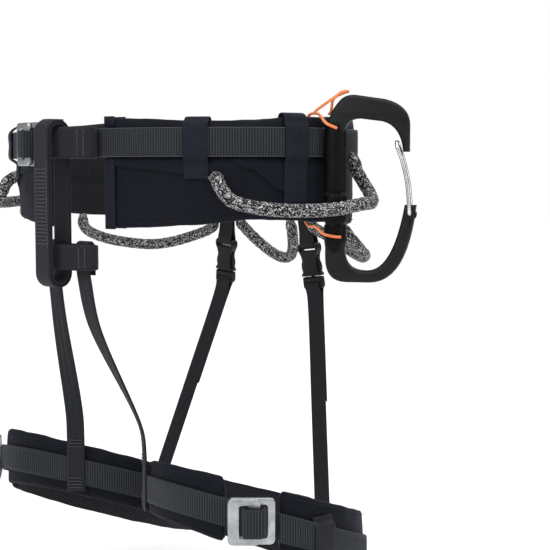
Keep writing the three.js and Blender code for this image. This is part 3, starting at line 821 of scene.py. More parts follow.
def rounded_corners(corners, radius, steps):
    """A polygon with every corner rounded by about this radius."""
    corners = [Vector(corner) for corner in corners]
    result = []
    for i, corner in enumerate(corners):
        before = corners[i - 1] - corner
        after = corners[(i + 1) % len(corners)] - corner
        reach = min(radius, before.length * 0.48, after.length * 0.48)
        start, end = corner + before.normalized() * reach, corner + after.normalized() * reach
        for step in range(steps + 1):
            result.append(tuple(bend(start, corner, end, step / steps)))
    return result


def rounded_box(left, bottom, right, top, radius, steps=3):
    corners = ((left, bottom), (right, bottom), (right, top), (left, top))
    return rounded_corners(corners, radius, steps)


def mirrored(half):
    """A whole outline from the half of it that lies at x >= 0."""
    return [*half, *((-x, y) for x, y in reversed(half) if x)]


# ------------------------------------------------------------------ the two kinds of ring


def smoothstep(value, low, high):
    t = min(max((value - low) / (high - low), 0), 1)
    return t * t * (3 - 2 * t)


def table_value(table, at):
    """A smooth value read from rows of (position, value)."""
    at = min(max(at, table[0][0]), table[-1][0])
    for (low, first), (high, second) in zip(table, table[1:]):
        if at <= high:
            return first + (second - first) * smoothstep(at, low, high)
    return table[-1][1]


def cos_sin(angle):
    turn = math.radians(angle)
    return math.cos(turn), math.sin(turn)


class Ring:
    """A ring round the wearer, an ellipse in plan. Angles are degrees from the outer side
    towards the back. edges(angle) is its pad's bottom and top there, and middle(angle) the
    height of its webbing."""

    def __init__(self, centre, half_width, half_depth, edges, middle):
        self.centre, self.half_width, self.half_depth = centre, half_width, half_depth
        self.edges, self.middle = edges, middle

    def normal(self, side, angle):
        c, s = cos_sin(angle)
        normal = Vector((self.half_depth * c, self.half_width * s, 0)).normalized()
        return Vector((side * normal.x, normal.y, 0))

    def point(self, side, angle, out, z):
        c, s = cos_sin(angle)
        x = self.centre.x + self.half_width * c
        y = self.centre.y + self.half_depth * s
        return Vector((side * x, y, z)) + self.normal(side, angle) * out

    def run(self, angle):
        """Millimetres along the ring for each degree here."""
        c, s = cos_sin(angle)
        return math.hypot(self.half_width * s, self.half_depth * c) * math.pi / 180

    def angles(self, start, stop, pitch):
        """Angles an even distance apart."""
        fine = np.linspace(start, stop, 800)
        steps = np.array([self.run(angle) for angle in fine])
        length = np.concatenate(([0], np.cumsum((steps[1:] + steps[:-1]) / 2 * np.diff(fine))))
        count = max(2, round(length[-1] / pitch))
        return np.interp(np.linspace(0, length[-1], count + 1), length, fine)


def belt_edges(angle):
    away = min(abs(angle - 90), 168)
    return [table_value([(row[0], row[n]) for row in BELT_EDGES], away) for n in (1, 2)]


def leg_edges(angle):
    c, s = cos_sin(angle)
    top = LEG_TOP_MEAN - LEG_TILT * s
    return top - LEG_HEIGHT - LEG_HEIGHT_SWING * (s + c), top


WAIST = Ring(
    Vector((0, 0)), WAIST_HALF_WIDTH, WAIST_HALF_DEPTH, belt_edges, lambda angle: WEB_MIDDLE
)
LEG = Ring(
    LEG_CENTRE, LEG_RADIUS, LEG_RADIUS, leg_edges, lambda angle: sum(leg_edges(angle)) / 2
)


# ------------------------------------------------------------------ padded pieces


def between(low, high, count):
    """count heights strictly between two others."""
    return [low + (high - low) * (i + 1) / (count + 1) for i in range(count)]


def pad_section(bottom, top, thickness, flat_from, flat_to, slack):
    """Rows of a pad's section as (out, z, held, lining). The outer face is held flat from
    flat_from to flat_to, where webbing lies on it, and both faces are sewn down at the rows
    marked as held. It starts a little slack, since the simulation fills it."""
    seam_low, seam_high = bottom + HEM_IN, top - HEM_IN
    rows = [(-1.6, bottom + 1.0, False, False), (-1.1, seam_low, True, False)]
    rows += [(-slack, z, False, False) for z in between(seam_low, flat_from, 5)]
    rows += [(-0.15, z, True, False) for z in np.linspace(flat_from, flat_to, 5)]
    rows += [(-slack / 2, z, False, False) for z in between(flat_to, seam_high, 1)]
    rows += [(-1.1, seam_high, True, False), (-1.6, top - 1.0, False, False)]
    rows += [(-4.2, top, False, False), (-thickness + 3.5, top - 1.2, False, True)]
    channels = [top - 4.5, *between(top - 4.5, bottom + 4.5, 2), bottom + 4.5]
    for upper, lower in zip(channels, channels[1:]):
        rows.append((-thickness + 3.2, upper, True, True))
        rows += [(-thickness + slack, z, False, True) for z in between(upper, lower, 4)]
    rows.append((-thickness + 3.2, channels[-1], True, True))
    rows += [(-thickness + 3.5, bottom + 1.2, False, True), (-4.2, bottom, False, False)]
    return rows


def puff(piece, held, swell):
    """Fills a closed mesh by cloth simulation. Held points stay, and the others move by no more
    than swell. The result is written into the mesh, and nothing of the simulation is left."""
    mesh = piece.data
    group = piece.vertex_groups.new(name="held")
    group.add(held, 1.0, "REPLACE")
    filling = piece.modifiers.new("filling", "CLOTH")
    for key, value in FILLING.items():
        setattr(filling.settings, key, value)
    filling.settings.effector_weights.gravity = 0
    filling.collision_settings.use_collision = False
    filling.point_cache.frame_start = 1
    filling.point_cache.frame_end = FILL_FRAMES
    scene = bpy.context.scene
    for step in range(1, FILL_FRAMES + 1):
        scene.frame_set(step)
    rest = np.empty(len(mesh.vertices) * 3)
    mesh.vertices.foreach_get("co", rest)
    filled = np.empty(len(mesh.vertices) * 3)
    result = piece.evaluated_get(bpy.context.evaluated_depsgraph_get()).to_mesh()
    result.vertices.foreach_get("co", filled)
    piece.modifiers.remove(filling)
    piece.vertex_groups.remove(group)
    scene.frame_set(1)
    rest, filled = rest.reshape(-1, 3), filled.reshape(-1, 3)
    move = filled - rest
    size = np.linalg.norm(move, axis=1, keepdims=True)
    limit = swell * MM
    move *= limit * np.tanh(size / limit) / np.maximum(size, 1e-9)
    mesh.vertices.foreach_set("co", (rest + move).ravel())
    mesh.update()


def finer(piece):
    """One round of subdivision, applied."""
    piece.modifiers.new("finer", "SUBSURF").levels = 1
    bpy.context.view_layer.update()
    depsgraph = bpy.context.evaluated_depsgraph_get()
    fine = bpy.data.meshes.new_from_object(piece.evaluated_get(depsgraph))
    piece.modifiers.clear()
    coarse = piece.data
    piece.data = fine
    bpy.data.meshes.remove(coarse)


def ruffle(piece, ring, side):
    """Worn cloth is never quite flat: low, soft waves that die out under the webbing."""
    mesh = piece.data
    normals = [vertex.normal.copy() for vertex in mesh.vertices]
    for vertex, normal in zip(mesh.vertices, normals):
        point = vertex.co / MM
        wave = noise.noise(point / 16) + 0.5 * noise.noise(point / 7)
        reach = Vector((side * point.x, point.y)) - ring.centre
        middle = ring.middle(math.degrees(math.atan2(reach.y, reach.x)))
        clear = smoothstep(abs(point.z - middle), WEB_WIDTH / 2 + 1, WEB_WIDTH)
        vertex.co += normal * (0.5 * wave * clear * MM)
    mesh.update()


def pad(name, ring, side, angles, sections, swell, nodes):
    """A padded ring: shell cloth outside, mesh lining inside, filled by simulation."""
    rings = [
        [ring.point(side, angle, out, z) for out, z, _, _ in rows]
        for angle, rows in zip(angles, sections)
    ]
    count = len(sections[0])
    points, faces, uvs = skin(rings)
    piece = add_piece(name, points, faces, uvs, SHELL)
    piece.data.materials.append(LINING.material)
    lining = {j for j, row in enumerate(sections[0]) if row[3]}
    for polygon in piece.data.polygons:
        corners = {v % count for v in polygon.vertices if v < len(rings) * count}
        if corners <= lining:
            polygon.material_index = 1
    ends = {0, len(rings) - 1}
    held = [
        i * count + j
        for i, rows in enumerate(sections)
        for j, row in enumerate(rows)
        if row[2] or i in ends
    ]
    held += [len(points) - 2, len(points) - 1]
    puff(piece, held, swell)
    finer(piece)
    ruffle(piece, ring, side)
    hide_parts(*nodes)


def cloth_line(angle):
    """How far down the belt the sewn-on layers reach here."""
    yoke = table_value(YOKE_LINE, angle) if angle < YOKE_TO else WEB_BOTTOM
    hip = table_value(HIP_LINE, angle) if angle > HIP_FROM else WEB_BOTTOM
    return min(yoke, hip)


def waist_pad():
    angles = WAIST.angles(WAIST_END, 180 - WAIST_END, 5)
    sections = []
    for angle in angles:
        bottom, top = belt_edges(angle)
        front = min(angle, 180 - angle)
        yoked = front < -2
        rows = pad_section(bottom, top, PAD_THICKNESS, WEB_BOTTOM - 1, WEB_TOP + 1, 1.2)
        line = cloth_line(front) - 1
        sections.append([
            (-0.15, row[1], True, False)
            if yoked and not row[3] and line < row[1] < WEB_TOP else row
            for row in rows
        ])
    pad("waist_pad", WAIST, LEFT, angles, sections, 1.9, ("waist_shell", "waist_foam"))


def leg_pad(side, label):
    angles = LEG.angles(LEG_PAD_FROM, LEG_PAD_TO, 5)
    sections = []
    for angle in angles:
        middle = LEG.middle(angle)
        sections.append(
            pad_section(*leg_edges(angle), LEG_THICKNESS, middle - 10.5, middle + 10.5, 1.0)
        )
    pad(f"leg_pad_{label}_cloth", LEG, side, angles, sections, 1.6, (f"leg_pad_{label}",))


# ------------------------------------------------------------------ waist belt


def ribbed_web(ring, side, name, node, start, stop, inner, thickness, steps):
    """Ribbed webbing round a ring, with this many steps to each rib."""
    stations = [
        (ring.point(side, angle, inner, ring.middle(angle)), UP, ring.normal(side, angle))
        for angle in ring.angles(start, stop, RIB_PITCH / steps)
    ]
    outline = strap_outline(WEB_WIDTH, thickness, steps + 3)
    piece = strap(name, stations, outline, RIBBED, relief=rib_relief)
    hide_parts(node)


def hems(name, ring, side, start, stop, radius):
    """Stitching along a pad's top and bottom edges."""
    rows = [
        [(ring.point(side, angle, -0.75, ring.edges(angle)[edge] + step),
          ring.normal(side, angle)) for angle in ring.angles(start, stop, 3)]
        for edge, step in ((0, HEM_IN), (1, -HEM_IN))
    ]
    stitch_rows(name, rows, DARK_THREAD, radius=radius)


def waist_webbing():
    ribbed_web(WAIST, LEFT, "waist_webbing_weave", "waist_webbing", WEB_FROM, WEB_TO,
               WEB_IN, WEB_THICKNESS, 5)
    for name, z in (("upper", WEB_TOP - 0.35), ("lower", WEB_BOTTOM + 0.35)):
        line = [
            WAIST.point(LEFT, angle, WEB_IN + WEB_THICKNESS - 0.05, z)
            for angle in WAIST.angles(WEB_FROM, WEB_TO, 2.5)
        ]
        tube(f"waist_webbing_selvedge_{name}", line, SELVEDGE_RADIUS, SELVEDGE, "root", 6)
    ribbed_web(WAIST, RIGHT, "waist_tail_weave", "waist_webbing_tail", -64.5, -32,
               WEB_IN + TAIL_LIFT, TAIL_THICKNESS, 5)


def keeper_width(z):
    """A keeper is drawn in a little where it lies on the webbing."""
    return 1 - 0.035 * math.sin(math.pi * min(max((z - 4) / 28, 0), 1))


def waist_keeper(side, label, where, start, stop, bottom, layers):
    """A tape over this many layers of webbing and the belt's top edge, sewn down below."""
    middle = (start + stop) / 2
    width = (stop - start) * WAIST.run(middle)
    _, top = belt_edges(middle if side == LEFT else 180 - middle)
    raised = layers * KEEPER_LIFT + WEB_IN + 0.95
    inside = -PAD_THICKNESS - 1.1
    route = [
        (1.0, bottom), (1.0, 0), (1.0, 4.5), (raised, 9), (raised, 19), (raised, 28.5),
        (1.3, 33), (0.9, top - 1.5), (-2, top + 1.1), (inside + 3, top + 1.1),
        (inside, top - 4), (inside, top - 16),
    ]
    name = f"waist_keeper_{where}_{label}"

    def place(out, z, across):
        return WAIST.point(side, middle + across / WAIST.run(middle), out, z)

    line = flat_line(route, 1.2)
    rings = ribbon(line, width, KEEPER_THICKNESS, 9, place, narrow=keeper_width)
    piece = sweep(f"{name}_tape", rings, TAPE)
    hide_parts(name)
    half = width / 2 - 1.6
    tack(
        f"{name}_tack", lambda x, z: place(1.6, z, x),
        WAIST.normal(side, middle), np.linspace(-half, half, 8), (bottom + 1.6, bottom + 4.2),
        gap=0.5,
    )


def waist_panel(name, side, start, stop, line, fades):
    """A second layer of cloth from the webbing down to a folded edge. It lies down flat over
    the last few degrees at each end that fades."""
    rings, hem = [], []
    for angle in WAIST.angles(start, stop, 2.2):
        low = table_value(line, angle)
        high = WEB_BOTTOM + 1
        rise = 1.0
        if fades[0]:
            rise *= smoothstep(angle, start, start + 7)
        if fades[1]:
            rise *= 1 - smoothstep(angle, stop - 7, stop)
        section = [
            (-0.6, high), (-0.6, (low + high) / 2), (-0.6, low + 1.2), (-0.5, low + 0.1),
            (0.75 * rise, low - 0.15), (1.05 * rise, low + 0.8), (0.62 * rise, low + 2.4),
            (0.5 * rise, (low + high) / 2), (0.25, high),
        ]
        rings.append([WAIST.point(side, angle, out - 0.25, z) for out, z in section])
        if not fades[1] or angle < stop - 12:
            hem.append((WAIST.point(side, angle, 0.5 * rise - 0.2, low + 2.4),
                        WAIST.normal(side, angle)))
    sweep(name, rings, SHELL)
    stitch_rows(f"{name}_stitches", [hem], DARK_THREAD, radius=0.15)


def end_binding(side, label):
    """Folded tape round the pad's front end, below and above the webbing."""
    bottom, top = belt_edges(WAIST_END if side == LEFT else 180 - WAIST_END)
    run = WAIST.run(WAIST_END)
    route = flat_line(
        [(8, 0.55), (3, 0.6), (-0.6, 0.2), (-1.4, -4), (-1.4, -8), (-0.6, -11.4), (3, -12),
         (8, -12)], 1.0,
    )
    spans = (("lower", bottom - 0.6, WEB_BOTTOM - 0.8), ("upper", WEB_TOP + 0.8, top + 0.6))
    for name, low, high in spans:
        rings = []
        for z in np.linspace(low, high, max(3, round((high - low) / 2.5))):
            outer, inner = [], []
            for point, way in zip(route, tangents(route)):
                for line, lift in ((outer, 0.5), (inner, -0.5)):
                    along, out = point.x + way.y * lift, point.y - way.x * lift
                    line.append(WAIST.point(side, WAIST_END + along / run, out, z))
            rings.append(outer + inner[::-1])
        sweep(f"end_binding_{name}_{label}", rings, TAPE, ends="strip")
    row = [
        (WAIST.point(side, WAIST_END + 6 / run, 1.15, z), WAIST.normal(side, WAIST_END))
        for z in np.linspace(bottom + 1, WEB_BOTTOM - 2, 20)
    ]
    stitch_rows(f"end_binding_{label}_stitches", [row], DARK_THREAD, radius=0.22)


def ladder_buckle(ring, side, angle, hand, piece, label=""):
    """The two plates of a buckle, and the webbing turned over the outer plate's bar. hand is
    the way that the webbing's free end leaves."""
    frame_node, plate_node = f"{piece}_buckle_frame{label}", f"{piece}_buckle_plate{label}"
    body = f"{piece}_plate{label}"
    origin = ring.point(side, angle, BUCKLE_LIFT, ring.middle(angle))
    outward = ring.normal(side, angle)
    along = UP.cross(outward)

    def place(out, y, z):
        return origin + outward * out + along * y + UP * z

    half = BUCKLE_SIZE / 2
    outline = rounded_box(-half, -half, half, half, 4, 5)
    reach = BUCKLE_SLOT_HALF
    slots = [rounded_box(y - 2.5, -reach, y + 2.5, reach, 1.6, 4) for y in (-8, 8)]
    lower = plate(
        f"{frame_node}_metal", outline, slots, BUCKLE_THICKNESS, 0.8, METAL, "root",
        lambda y, z, out: place(out, y, z),
    )
    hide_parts(frame_node)
    shift = -5 * hand
    outline = rounded_box(shift - 11, -half, shift + 11, half, 4, 5)
    slot = rounded_box(shift - 3, -reach, shift + 3, reach, 1.6, 4)
    upper = plate(
        f"{plate_node}_metal", outline, [slot], OUTER_PLATE_THICKNESS, 0.8, METAL, body,
        lambda y, z, out: place(BUCKLE_THICKNESS + 0.35 + out, y, z),
    )
    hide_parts(plate_node)
    route = [
        (9.2, 0.3), (9.0, 3.5), (8.6, 7), (6.6, 9.9), (2.5, 10.6), (-1.6, 10.2),
        (-4.4, 8), (-5.2, 5), (-5.6, 1.8), (-5.8, 0.3),
    ]
    pitch = RIB_PITCH / 5
    rings = ribbon(
        flat_line([(y * hand, out) for y, out in route], pitch), WEB_WIDTH, 1.8, 8,
        lambda y, out, z: place(out, y, z), hand,
        lambda number, across: rib_relief(number * pitch, across),
    )
    turn = sweep(f"{piece}_buckle_turn{label}", rings, RIBBED, body=None)
    place(1, 0, 0) * MM
    place(8, 0, 0) * MM
    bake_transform(turn)


# ------------------------------------------------------------------ tie-in rings, belay loop


def ring_line(bottom, top):
    """The inner face of a D-shaped ring in plan, at its middle height."""
    half = RING_HALF_WIDTH - RING_THICKNESS
    back, front = RING_BACK - RING_THICKNESS, RING_FRONT + RING_THICKNESS
    pull = back + (front - back) * 4 / 3
    z = (bottom + top) / 2
    arc = [Vector((-half, back, z)), Vector((-half, pull, z)),
           Vector((half, pull, z)), Vector((half, back, z))]
    curve = []
    for i in range(41):
        t = i / 40
        a, b, c = (arc[n].lerp(arc[n + 1], t) for n in range(3))
        curve.append(a.lerp(b, t).lerp(b.lerp(c, t), t))
    corner = [Vector((half - 1.2, back + 0.5, z)), Vector((half - 3, back, z))]
    mirror = [Vector((-p.x, p.y, z)) for p in reversed(corner)]
    return even_line([*curve, *corner, *mirror], 1.2, closed=True)


def tie_in_ring(name, bottom, top):
    stations = round_stations(ring_line(bottom, top), UP)
    outline = strap_outline(top - bottom, RING_THICKNESS, 10)
    piece = strap(f"{name}_webbing", stations, outline, TIE_IN, closed=True)
    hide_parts(name)
    rows = []
    for side in (-1, 1):
        for x in (24.2, 21.4):
            spots = [s for s in stations if s[0].y < RING_BACK - 6 and s[0].x * side > 0]
            near = min(spots, key=lambda s: abs(abs(s[0].x) - x))
            face = near[0] + near[2] * (RING_THICKNESS + 0.1)
            half = (top - bottom) / 2 - 2
            rows.append([(face + UP * z, near[2]) for z in np.linspace(-half, half, 9)])
    stitch_rows(f"{name}_tack", rows, GREY_THREAD, length=1.6, gap=0.3, radius=0.35)


def belay_line(radius):
    """The belay loop's run at this distance from its middle line."""
    points = []
    for centre, first in ((BELAY_TOP, 0), (BELAY_BOTTOM, math.pi)):
        for turn in np.linspace(first, first + math.pi, 25):
            y = BELAY_CENTRE_Y + radius * math.cos(turn)
            points.append(Vector((0, y, centre + radius * math.sin(turn))))
    return even_line(points, 1.3, closed=True)


def belay_loop():
    """Two layers of webbing, sewn together down both straight runs."""
    inner = BELAY_GAP / 2
    for layer, name in ((0, "inner"), (1, "outer")):
        line = belay_line(inner + layer * BELAY_THICKNESS / 2 + 0.05)
        stations = round_stations(line, Vector((1, 0, 0)))
        outline = strap_outline(BELAY_WIDTH - 0.5 * layer, BELAY_THICKNESS / 2 - 0.1, 9)
        piece = strap(f"belay_loop_{name}", stations, outline, TIE_IN, "belay_loop", closed=True)
        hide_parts("belay_loop")
    rows = []
    for way in (-1, 1):
        y = BELAY_CENTRE_Y + way * (inner + BELAY_THICKNESS + 0.05)
        outward = Vector((0, way, 0))
        for z in np.arange(-52, 2, 2.6):
            rows.append([(Vector((x, y, z + 1.3 * (n % 2))), outward)
                         for n, x in enumerate(np.linspace(-5.6, 5.6, 9))])
        for x in (-6.4, 6.4):
            rows.append([(Vector((x, y, z)), outward) for z in np.linspace(-54, 6, 30)])
    stitch_rows("belay_loop_tack", rows, GREY_THREAD, "belay_loop", 1.7, 0.25, 0.3)


def bridge_strap(side, label):
    """From round the lower ring's back, down to the front of a leg loop."""
    out = BUCKLE_LIFT
    x = side * 16
    knots = [
        (x, -106.7, -74), (x, -106.6, -62), (x, -106.9, -54), (x, -108.6, -50.8),
        (x, -111.4, -51.4), (x, -112.6, -56), (x, -112.4, -66), (side * 16.5, -111, -78),
        (side * 19, -105, -110),
        LEG.point(side, BRIDGE_FOOT, out + 2.2, -186),
        *(LEG.point(side, BRIDGE_FOOT, out, z) for z in (-203, -224, -246)),
    ]
    line = smooth_line(knots, 1.6)
    end_out = LEG.normal(side, BRIDGE_FOOT)
    along = UP.cross(end_out)
    stations = []
    for point, way in zip(line, tangents(line)):
        wide = Vector((1, 0, 0)).lerp(along, smoothstep(-point.z, 80, 200))
        outward = wide.cross(way).normalized()
        stations.append((point, way.cross(outward), outward))
    outline = [
        (across, height - BRIDGE_THICKNESS / 2)
        for across, height in strap_outline(BRIDGE_WIDTH, BRIDGE_THICKNESS, 8)
    ]
    piece = strap(f"bridge_strap_{label}_webbing", stations, outline, TIE_IN)
    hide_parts(f"bridge_strap_{label}")
    face = end_out * 1.3
    tack(
        f"bridge_strap_{label}_tack",
        lambda a, z: LEG.point(side, BRIDGE_FOOT, out, z) + face + along * a, end_out,
        np.linspace(-5, 5, 7), (-243, -240.5, -238, -235.5, -211, -208.5, -206),
        GREY_THREAD, gap=0.3, radius=0.32,
    )


# ------------------------------------------------------------------ leg loops


def leg_keeper(side, label):
    """A flat elastic arch that holds the tail down."""
    middle = LEG_KEEPER_ANGLE
    run = LEG.run(middle)
    centre = LEG.middle(middle)
    route = [(1.9, -16), (2.2, -14), (2.5, -12.6), (3.8, -11.4), (5.6, -9.8), (6.2, -7),
             (6.3, 0), (6.2, 7), (5.6, 9.8), (3.8, 11.4), (2.5, 12.6), (2.2, 14), (1.9, 16)]
    rings = ribbon(
        flat_line(route, 0.9), LEG_KEEPER_WIDTH, KEEPER_THICKNESS, 8,
        lambda out, z, across: LEG.point(side, middle + across / run, out, centre + z),
    )
    piece = sweep(f"leg_keeper_{label}_elastic", rings, ELASTIC)
    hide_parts(f"leg_keeper_{label}")
    tack(
        f"leg_keeper_{label}_tack",
        lambda x, z: LEG.point(side, middle + x / run, 2.75, centre + z),
        LEG.normal(side, middle), np.linspace(-6.4, 6.4, 7), (-14.6, 14.6),
    )


# ------------------------------------------------------------------ rear risers


class RiserFrame:
    """Places points by distance down the riser, width and height off the wearer. Below the
    buckle the line leans over towards the foot on the leg loop."""

    def __init__(self, side):
        self.top, knee, foot = (
            Vector((side * point.x, point.y, point.z))
            for point in (RISER_TOP, RISER_KNEE, RISER_FOOT)
        )
        self.up = (self.top - knee).normalized()
        self.across = Vector((0, 1, 0)).cross(self.up).normalized()
        self.out = self.up.cross(self.across)
        self.end = (self.top - foot).dot(self.up)
        straight = self.top - self.up * self.end
        self.lean = (foot - straight) / (self.end - BEND_FROM)

    def __call__(self, down, width, height):
        below = max(down - BEND_FROM, 0)
        line = self.top - self.up * down + self.lean * below
        return line + self.across * width + self.out * height


def riser_strap(name, at, route, body="root"):
    """A strap along a (down, height) route in the riser's own plane."""
    rings = ribbon(
        flat_line(route, 1.5), RISER_WIDTH, RISER_THICKNESS, 9,
        lambda down, height, across: at(down, across, height), hand=-1,
    )
    return sweep(name, rings, ELASTIC, body)


def riser_tack(name, at, runs):
    """Two rows of stitches across a riser strap, at these (down, height)."""
    tack(name, lambda across, run: at(run[0], across, run[1]), at.out, np.linspace(-6, 6, 8),
         runs, length=1.3, radius=0.28)


def riser_upper(at, label):
    """Sewn under the hem, down round the buckle's top bar and back up."""
    route = [
        (-5, 0.9), (8, 1.3), (18, 2.2), (23, 3.1), (26.2, 2.9), (28.2, 0.2), (26.6, -2.6),
        (23.4, -2.9), (16, -1.5), (6, -0.9), (-5, -0.9),
    ]
    piece = riser_strap(f"riser_strap_upper_{label}_elastic", at, route)
    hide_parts(f"riser_strap_upper_{label}")
    riser_tack(f"riser_{label}_tack", at, ((12, 2.35), (14, 2.55)))


def moulded(at, name, outline, holes, thickness, bevel, level, body="root", node=None):
    """A black plastic plate of the side-release buckle, whose low face is at this level."""
    piece = plate(
        name, outline, holes, thickness, bevel, PLASTIC, body,
        lambda width, down, height: at(down, width, level + height),
    )
    if node:
        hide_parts(node)


def riser_socket(at, label):
    """The buckle's upper half: a strap bar, and two faces with a window at each side."""
    half = [(0, 24), (9.2, 24), (10.4, 26.4), (10.4, 29.5), (8.6, 32.6), (7.4, 36), (7.2, 43),
            (7.6, 47), (9.6, 50), (9.6, 51)]
    outline = rounded_corners(mirrored(half), 1.2, 4)
    slot = rounded_box(-7.9, 26.7, 7.9, 29.8, 0.9)
    channel = rounded_box(-1.7, 36.5, 1.7, 45.5, 1.4, 4)
    for name, level, holes in (("front", 1.15, [slot, channel]), ("back", -3.25, [slot])):
        moulded(at, f"riser_buckle_{name}_{label}", outline, holes, 2.1, 0.65, level,
                node=f"riser_buckle_socket_{label}")
    crown = rounded_corners(mirrored([*half[:5], (7.8, 34.4)]), 1.2, 4)
    moulded(at, f"riser_buckle_crown_{label}", crown, [slot], 5.8, 1.6, -2.9)
    for hand, name in ((-1, "b"), (1, "a")):
        rib = [(hand * w, s) for w, s in rounded_box(3.6, 35.5, 5.0, 47.5, 0.6)]
        moulded(at, f"riser_buckle_rib_{label}_{name}", rib, [], 1.0, 0.45, 2.9)
    lip = rounded_box(-9.7, 48.6, 9.7, 51, 0.9)
    moulded(at, f"riser_buckle_lip_{label}", lip, [], 6.3, 0.9, -3.15)


def riser_plug(at, label):
    """The lower half: a flared base with its strap slot, and the middle tongue."""
    half = [(0, 51.6), (9.7, 51.6), (9.9, 55), (9.9, 59.5), (9.0, 61.4)]
    outline = rounded_corners(mirrored(half), 1.4, 4)
    slot = rounded_box(-7.9, 56.4, 7.9, 58.9, 0.8)
    moulded(at, f"riser_plug_base_{label}", outline, [slot], 5.4, 1.3, -2.7,
            f"plug_{label}", f"riser_buckle_plug_{label}")
    tongue = rounded_box(-1.4, 36, 1.4, 53, 0.7)
    moulded(at, f"riser_plug_tongue_{label}", tongue, [], 2.2, 0.5, -1.1, f"plug_{label}")


def riser_button(at, label, hand, place_name):
    """A sprung side arm, with grip ridges where a thumb presses it."""
    body = f"button_{label}_{place_name}"
    outline = [(w * hand, s) for w, s in (
        (3.8, 51.0), (8.2, 51.0), (8.9, 48.6), (9.9, 46.4), (10.25, 43.6), (9.9, 40.8), (8.5, 37.4),
        (7, 34.8), (3.8, 34.8), (4.2, 39), (6.4, 43), (6.2, 48),
    )]
    moulded(at, f"riser_arm_{label}_{place_name}", rounded_corners(outline, 0.7, 3), [], 2.7,
            0.6, -1.35, body, f"riser_buckle_button_{label}_{place_name}")
    for number, (w, down) in enumerate(((9.75, 41.2), (10.05, 43.4), (9.75, 45.6))):
        box = rounded_box(w - 1.2, down - 0.45, w + 0.35, down + 0.45, 0.4)
        grip = [(hand * a, s) for a, s in box]
        moulded(at, f"riser_grip_{label}_{place_name}_{number}", grip, [], 2.3, 0.4, -1.15, body)


def riser_lower(at, label):
    """Round the plug's bar, doubled down to the turned end, then single to the leg loop."""
    loop = [
        (RISER_FOLD_END, 1.7), (110, 1.75), (72, 1.8), (63, 2.2), (59.5, 3.2), (57, 2.8),
        (56.2, 0.3), (57.4, -2.3), (60.5, -2.7), (66, -1.0), (80, 0), (150, 0),
        (at.end + 2, 0),
    ]
    piece = riser_strap(f"riser_strap_lower_{label}_elastic", at, loop, None)
    at(at.end - 4, 0, 0) * MM
    at(66, 0, 0) * MM
    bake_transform(piece)
    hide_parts(f"riser_strap_lower_{label}")
    riser_tack(f"riser_foot_{label}_tack", at, [(at.end - short, 0.75) for short in (5, 8)])


def riser(side, label):
    at = RiserFrame(side)
    riser_upper(at, label)
    riser_socket(at, label)
    riser_plug(at, label)
    riser_button(at, label, 1, "a")
    riser_button(at, label, -1, "b")
    riser_lower(at, label)


# ------------------------------------------------------------------ gear loops


def gear_loop(node, side, route, start, stop):
    """A stiff tube in a knitted sleeve. start and stop carry its pinched ends into the belt."""
    knots = [WAIST.point(side, *spot) for spot in (*start, *route, *stop)]
    line = smooth_line(knots, 1.3)

    def radius_at(i, count):
        near = min(i, count - 1 - i)
        knit = 0.025 * math.sin(i * 2.4) + 0.02 * math.sin(i * 1.1)
        return (0.55 + 0.45 * smoothstep(near, 0, PINCH_STEPS)) * (1 + knit)

    piece = tube(f"{node}_sleeve", line, GEAR_TUBE_RADIUS, SLEEVE, node, 20, radius_at)
    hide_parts(node)


def fringe(side, label):
    """Loose ends of the sleeve's yarn, where the front loop goes in under the cloth."""
    rows = []
    outward = WAIST.normal(side, FRINGE_ANGLE)
    for i in range(15):
        spread = (i - 7) / 7
        lift = 1.1 + 0.9 * abs(math.sin(3.1 * i))
        start = WAIST.point(side, FRINGE_ANGLE + 1.9 * spread, 3.2, -5.9 - 0.8 * abs(spread))
        end = WAIST.point(side, FRINGE_ANGLE - 0.2 + 2.4 * spread, 1.1, -5.3 + lift)
        middle = (start + end) / 2 + outward * 0.7
        rows += [[(start, outward), (middle, outward)], [(middle, outward), (end, outward)]]
    stitch_rows(
        f"gear_loop_fringe_{label}", rows, PALE_YARN, f"gear_loop_front_{label}", 1.4, 0.01, 0.2
    )


def gear_loops():
    for side, label in SIDES:
        gear_loop(f"gear_loop_front_{label}", side, FRONT_LOOP,
                  [(-44.2, -6, -4.3), (-43.5, 1.8, -5.2)], [(12.5, 2, 9.5), (12.5, -3, 12)])
        fringe(side, label)
        gear_loop(f"gear_loop_rear_{label}", side, REAR_LOOP,
                  [(68.6, -5, -37)], [(12.6, -5, -36)])
    rise = [(90 + away, out, z) for away, out, z in BACK_LOOP_HALF]
    fall = [(90 - away, out, z) for away, out, z in BACK_LOOP_HALF[:-1]][::-1]
    gear_loop("gear_loop_back", LEFT, [*rise, *fall],
              [(101.4, -5, -38)], [(78.6, -5, -38)])


# ------------------------------------------------------------------ tool carrier


def carrier_point(along, across, z):
    return CARRIER_TURN @ Vector((along, across, z)) + CARRIER_STEM


def quadratic(points, control, end, steps=8):
    """Goes on from the last point, by a curve."""
    start, control, end = (Vector(point) for point in (points[-1], control, end))
    points += [tuple(bend(start, control, end, (i + 1) / steps)) for i in range(steps)]


def carrier_outline():
    stem = 6.8
    points = [(-stem, -60), (-stem, 22)]
    quadratic(points, (-6, 37), (1.5, 45.5))
    quadratic(points, (6, 51.8), (14, 51))
    points.append((34, 48))
    quadratic(points, (50.9, 44), (50.9, 30))
    points += [(50.9, 12.3), (46.5, 12.3)]
    quadratic(points, (45, 30), (32, 33))
    points.append((17, 35))
    quadratic(points, (stem, 35), (stem, 24))
    points.append((stem, -54))
    quadratic(points, (stem, -68.8), (22, -68.8))
    quadratic(points, (40, -68.8), (47.9, -23.5), 12)
    points.append((55.8, -23.5))
    quadratic(points, (50, -77), (24, -77), 12)
    points.append((8, -77))
    quadratic(points, (-stem, -77), (-stem, -60))
    return points


